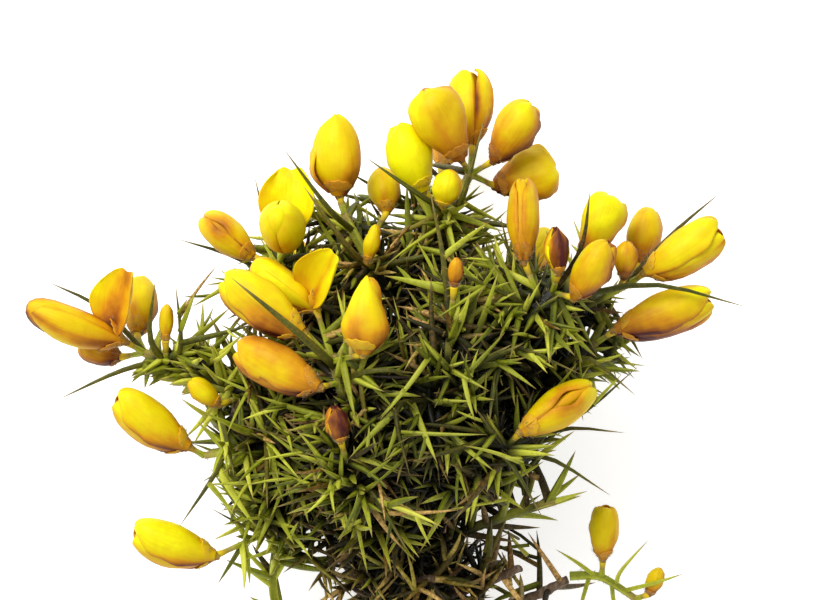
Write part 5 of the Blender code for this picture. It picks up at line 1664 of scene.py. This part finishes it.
FURROW_SCALE, FURROW_STRETCH = 1.1, 0.35
NOISE_REACH = 2.0  # brings a noise that runs half a unit each way to one unit
CUT_STEPS = ((0.35, 0.0), (0.1, 0.12))  # a rim of bark, and the cut wood proud of it
DEAD_BOW, DEAD_AGE = 0.4, (0.75, 1.0)
SHOOT_BACK, TWIG_ON, STEM_AGE, TWIG_AGE = 0.7, 0.45, 0.6, 0.1
SPINE_BOW, INNER_BOW = 0.035, 0.05
DEAD_LEAST, DEAD_MORE, OLD = 0.06, 0.8, 0.9  # the share of spines that are brown
FRESH_AGE, FRESH_SPREAD = 0.25, 0.12
LONG_TINT, LONG_AGE, LONG_AGE_MORE = 0.35, 0.48, 0.3
SHOOT_HAIRY, SHOOT_HAIR_LENGTH, SHOOT_HAIR_LEAN, SHOOT_HAIR_ROOT = (0.05, 0.99), (0.6, 1.1), 0.5, 0.8
INNER_GREEN, INNER_GREEN_AGE, INNER_DEAD_AGE = 0.12, (0.05, 0.3), (0.6, 1.0)


class GORSE_OT_wood(bpy.types.Operator):
    """Build the bark-covered stem, its forks, its dead spines and its cut end"""
    bl_idname = "gorse.wood"
    bl_label = "Build Wood"

    def execute(self, context):
        settings = context.scene.gorse_wood
        bark = bark_material(settings)
        stems = []
        for stem in WOOD:
            path = rounded_path(stem.points, 10)
            stems.append(Rod(path, np.linspace(*stem.radii, len(path)), age=1.0))
        parts = []
        depth = NOISE_REACH * settings.furrow / MM
        for number, stem in enumerate(stems):
            part = rods_object("bark" if number == 0 else "fork", [stem], bark)
            for vert in part.data.vertices:
                spot = vert.co * FURROW_SCALE
                spot.y *= FURROW_STRETCH
                vert.co += vert.normal * depth * noise.noise(spot)
            parts.append(part)
        start = Vector(stems[0].path[0])
        centre = ((start.x - CENTRE[0]) * MM, (start.y - CENTRE[1]) * MM, start.z * MM)
        self.cut_end(parts[0], start, cut_material(settings, centre))
        draw = random.Random(SEED + 1)
        spines = []
        for points, radius in LAYOUT.thorns["woody_stem"]:
            bow, tint = any_bow(draw, DEAD_BOW), draw.random()
            spines.append(spine(points, radius, tint, draw.uniform(*DEAD_AGE), bow))
        dead = shared_material(spine_material, context.scene.gorse_spines)
        parts.append(rods_object("dead", spines, dead))
        finish_piece(joined("woody_stem_bark", parts), ["woody_stem"])
        return {"FINISHED"}

    @staticmethod
    def cut_end(part, start, material):
        """Give the stem's cut face a rim of bark and its own pale wood."""
        bm = bmesh.new()
        bm.from_mesh(part.data)
        caps = [face for face in bm.faces if len(face.verts) > 4]
        cap = min(caps, key=lambda face: (face.calc_center_median() - start).length)
        for thickness, depth in CUT_STEPS:
            bmesh.ops.inset_region(bm, faces=[cap], thickness=thickness, depth=depth,
                                   use_even_offset=False)
        cap.material_index = 1
        cap.smooth = False
        bm.to_mesh(part.data)
        bm.free()
        part.data.materials.append(material)


class GORSE_OT_shoots(bpy.types.Operator):
    """Build each green shoot with its twigs, its spines, the finer spines between and its hairs"""
    bl_idname = "gorse.shoots"
    bl_label = "Build Shoots"

    def execute(self, context):
        settings = context.scene.gorse_spines
        material = shared_material(spine_material, settings)
        hair = shared_material(hair_material, context.scene.gorse_petals)
        extra = {}
        for owner, tint, row in growth().green:
            extra.setdefault(owner, []).append((tint, row))
        for stem in SHOOTS:
            owner = "shoot_" + stem.name
            draw = random.Random(owner)
            path, radii = LAYOUT.stems[owner][0]
            fine = rounded_path([path[0] - SHOOT_BACK * unit(path[1] - path[0]), *path[1:]], 4)
            age = STEM_AGE * float(brown_share(fine).mean())
            stems = [Rod(fine, np.linspace(radii[0], radii[-1], len(fine)), age=age)]
            twigs = [Rod((root, end + TWIG_ON * unit(end - root)), (TWIG_RADIUS, STALK_RADIUS),
                         age=TWIG_AGE) for root, end in LAYOUT.twigs.get(owner, [])]
            spines = [self.spine_on(draw, points, radius) for points, radius in LAYOUT.thorns[owner]]
            fillers = [self.spine_on(draw, [row[0:3], row[3:6]], row[6], tint)
                       for tint, row in extra.get(owner, [])]
            parts = [rods_object(kind, rods, material)
                     for kind, rods in (("stem", stems), ("twigs", twigs), ("spines", spines),
                                        ("fillers", fillers)) if rods]
            hairs = self.hairs(draw, fine, radii, settings.hair_count)
            parts.append(rods_object("hairs", hairs, hair))
            finish_piece(joined(owner + "_spines", parts), [owner])
        return {"FINISHED"}

    @staticmethod
    def spine_on(draw, points, radius, tint=None):
        """A spine, dead or green by chance and by where it stands; the longest are tan."""
        middle = 0.5 * (points[0] + points[-1])
        dead = float(brown_share(middle))
        if draw.random() < DEAD_LEAST + DEAD_MORE * dead:
            age = OLD
        else:
            age = FRESH_AGE * dead + FRESH_SPREAD * draw.random()
        bow = any_bow(draw, SPINE_BOW * np.linalg.norm(points[-1] - points[0]))
        tint = draw.random() if tint is None else tint
        if path_length(points) > LONG_THORN:
            tint, age = LONG_TINT * tint, max(age, LONG_AGE + LONG_AGE_MORE * tint)
        return spine(points, radius, tint, age, bow)

    @staticmethod
    def hairs(draw, path, radii, count):
        rods = []
        for _ in range(count):
            root, along, across, over = thorn_frame(path, draw.uniform(*SHOOT_HAIRY))
            turn = draw.uniform(0, 2 * math.pi)
            out = math.cos(turn) * across + math.sin(turn) * over + SHOOT_HAIR_LEAN * along
            start = root + out * SHOOT_HAIR_ROOT * radii[-1]
            end = start + unit(out) * draw.uniform(*SHOOT_HAIR_LENGTH)
            rods.append(Rod((start, end), SHOOT_HAIR_RADII))
        return rods


class GORSE_OT_inner_spines(bpy.types.Operator):
    """Build the spines, most of them dead, that fill the shade inside and below the head"""
    bl_idname = "gorse.inner_spines"
    bl_label = "Build Inner Spines"

    def execute(self, context):
        material = shared_material(spine_material, context.scene.gorse_spines)
        draw = random.Random(SEED + 2)
        rods = []
        for _, tint, row in growth().dead:
            bow = any_bow(draw, INNER_BOW * np.linalg.norm(row[3:6] - row[0:3]))
            green = draw.random() < INNER_GREEN
            age = draw.uniform(*(INNER_GREEN_AGE if green else INNER_DEAD_AGE))
            rods.append(spine([row[0:3], row[3:6]], row[6], tint, age, bow, 4))
        piece = rods_object("inner_dead_spines", rods, material)
        finish_piece(piece, [])
        return {"FINISHED"}


class GORSE_OT_open_blooms(bpy.types.Operator):
    """Build the open flowers, each with its raised standard petal"""
    bl_idname = "gorse.open_blooms"
    bl_label = "Build Open Flowers"

    def execute(self, context):
        build_flowers(context, ("open",))
        return {"FINISHED"}


class GORSE_OT_closed_blooms(bpy.types.Operator):
    """Build the closed flowers, whose standard petal folds over the rest"""
    bl_idname = "gorse.closed_blooms"
    bl_label = "Build Closed Flowers"

    def execute(self, context):
        build_flowers(context, ("closed",))
        return {"FINISHED"}


class GORSE_OT_buds(bpy.types.Operator):
    """Build the flower buds"""
    bl_idname = "gorse.buds"
    bl_label = "Build Buds"

    def execute(self, context):
        build_flowers(context, ("bud",))
        return {"FINISHED"}


class GORSE_OT_spent_blooms(bpy.types.Operator):
    """Build the two spent, shrivelled flowers"""
    bl_idname = "gorse.spent_blooms"
    bl_label = "Build Spent Flowers"

    def execute(self, context):
        build_flowers(context, ("spent",))
        return {"FINISHED"}


class GORSE_OT_stage(bpy.types.Operator):
    """Build the pale floor, the soft light and the camera"""
    bl_idname = "gorse.stage"
    bl_label = "Build Stage"

    def execute(self, context):
        settings, scene = context.scene.gorse_stage, context.scene
        bm = bmesh.new()
        bmesh.ops.create_grid(bm, x_segments=FLOOR_SQUARES, y_segments=FLOOR_SQUARES,
                              size=FLOOR_HALF)
        floor = new_object("floor", mesh_of(bm, "floor"))
        floor.location.z = -FLOOR_DROP
        material, _, shader = new_material("plain_floor")
        set_inputs(shader, Base_Color=settings.floor, Roughness=0.9,
                   Emission_Color=settings.floor, Emission_Strength=settings.floor_glow)
        floor.data.materials.append(material)
        world = bpy.data.worlds.new("studio")
        world.use_nodes = True
        set_inputs(world.node_tree.nodes["Background"], Color=settings.sky,
                   Strength=settings.sky_strength)
        scene.world = world
        light = bpy.data.lights.new("key", "AREA")
        light.energy = settings.key_power
        light.size = settings.key_size
        key = bpy.data.objects.new("key", light)
        key.location = Vector(LIGHT_SIDE) * KEY_DISTANCE
        key.rotation_euler = Vector(LIGHT_SIDE).to_track_quat("Z", "Y").to_euler()
        scene.collection.objects.link(key)
        camera = bpy.data.objects.new("camera", bpy.data.cameras.new("camera"))
        camera.data.lens = settings.lens
        camera.data.clip_start = CAMERA_NEAR
        camera.location = (-CENTRE[0] * MM, -CENTRE[1] * MM, CAMERA_HEIGHT * MM)
        scene.collection.objects.link(camera)
        scene.camera = camera
        scene.view_settings.view_transform = "Standard"
        return {"FINISHED"}


BUILDERS = (GORSE_OT_wood, GORSE_OT_shoots, GORSE_OT_inner_spines, GORSE_OT_open_blooms,
            GORSE_OT_closed_blooms, GORSE_OT_buds, GORSE_OT_spent_blooms, GORSE_OT_stage)
SETTINGS = {"gorse_petals": GorsePetals, "gorse_spines": GorseSpines, "gorse_wood": GorseWood,
            "gorse_stage": GorseStage}


class GORSE_PT_panel(bpy.types.Panel):
    """Lists the steps of the sprig"""
    bl_label = "Gorse Sprig"
    bl_idname = "GORSE_PT_panel"
    bl_space_type = "VIEW_3D"
    bl_region_type = "UI"
    bl_category = "Gorse"

    def draw(self, context):
        for builder in BUILDERS:
            self.layout.operator(builder.bl_idname)
        for group in SETTINGS:
            box = self.layout.box()
            for name in getattr(context.scene, group).__annotations__:
                box.prop(getattr(context.scene, group), name)


def register():
    for group, settings in SETTINGS.items():
        bpy.utils.register_class(settings)
        setattr(bpy.types.Scene, group, PointerProperty(type=settings))
    for cls in (*BUILDERS, GORSE_PT_panel):
        bpy.utils.register_class(cls)


def unregister():
    for cls in (GORSE_PT_panel, *reversed(BUILDERS)):
        bpy.utils.unregister_class(cls)
    for group, settings in SETTINGS.items():
        delattr(bpy.types.Scene, group)
        bpy.utils.unregister_class(settings)


def main():
    register()
    for builder in BUILDERS:
        area, step = builder.bl_idname.split(".")
        getattr(getattr(bpy.ops, area), step)()


if __name__ == "__main__":
    main()
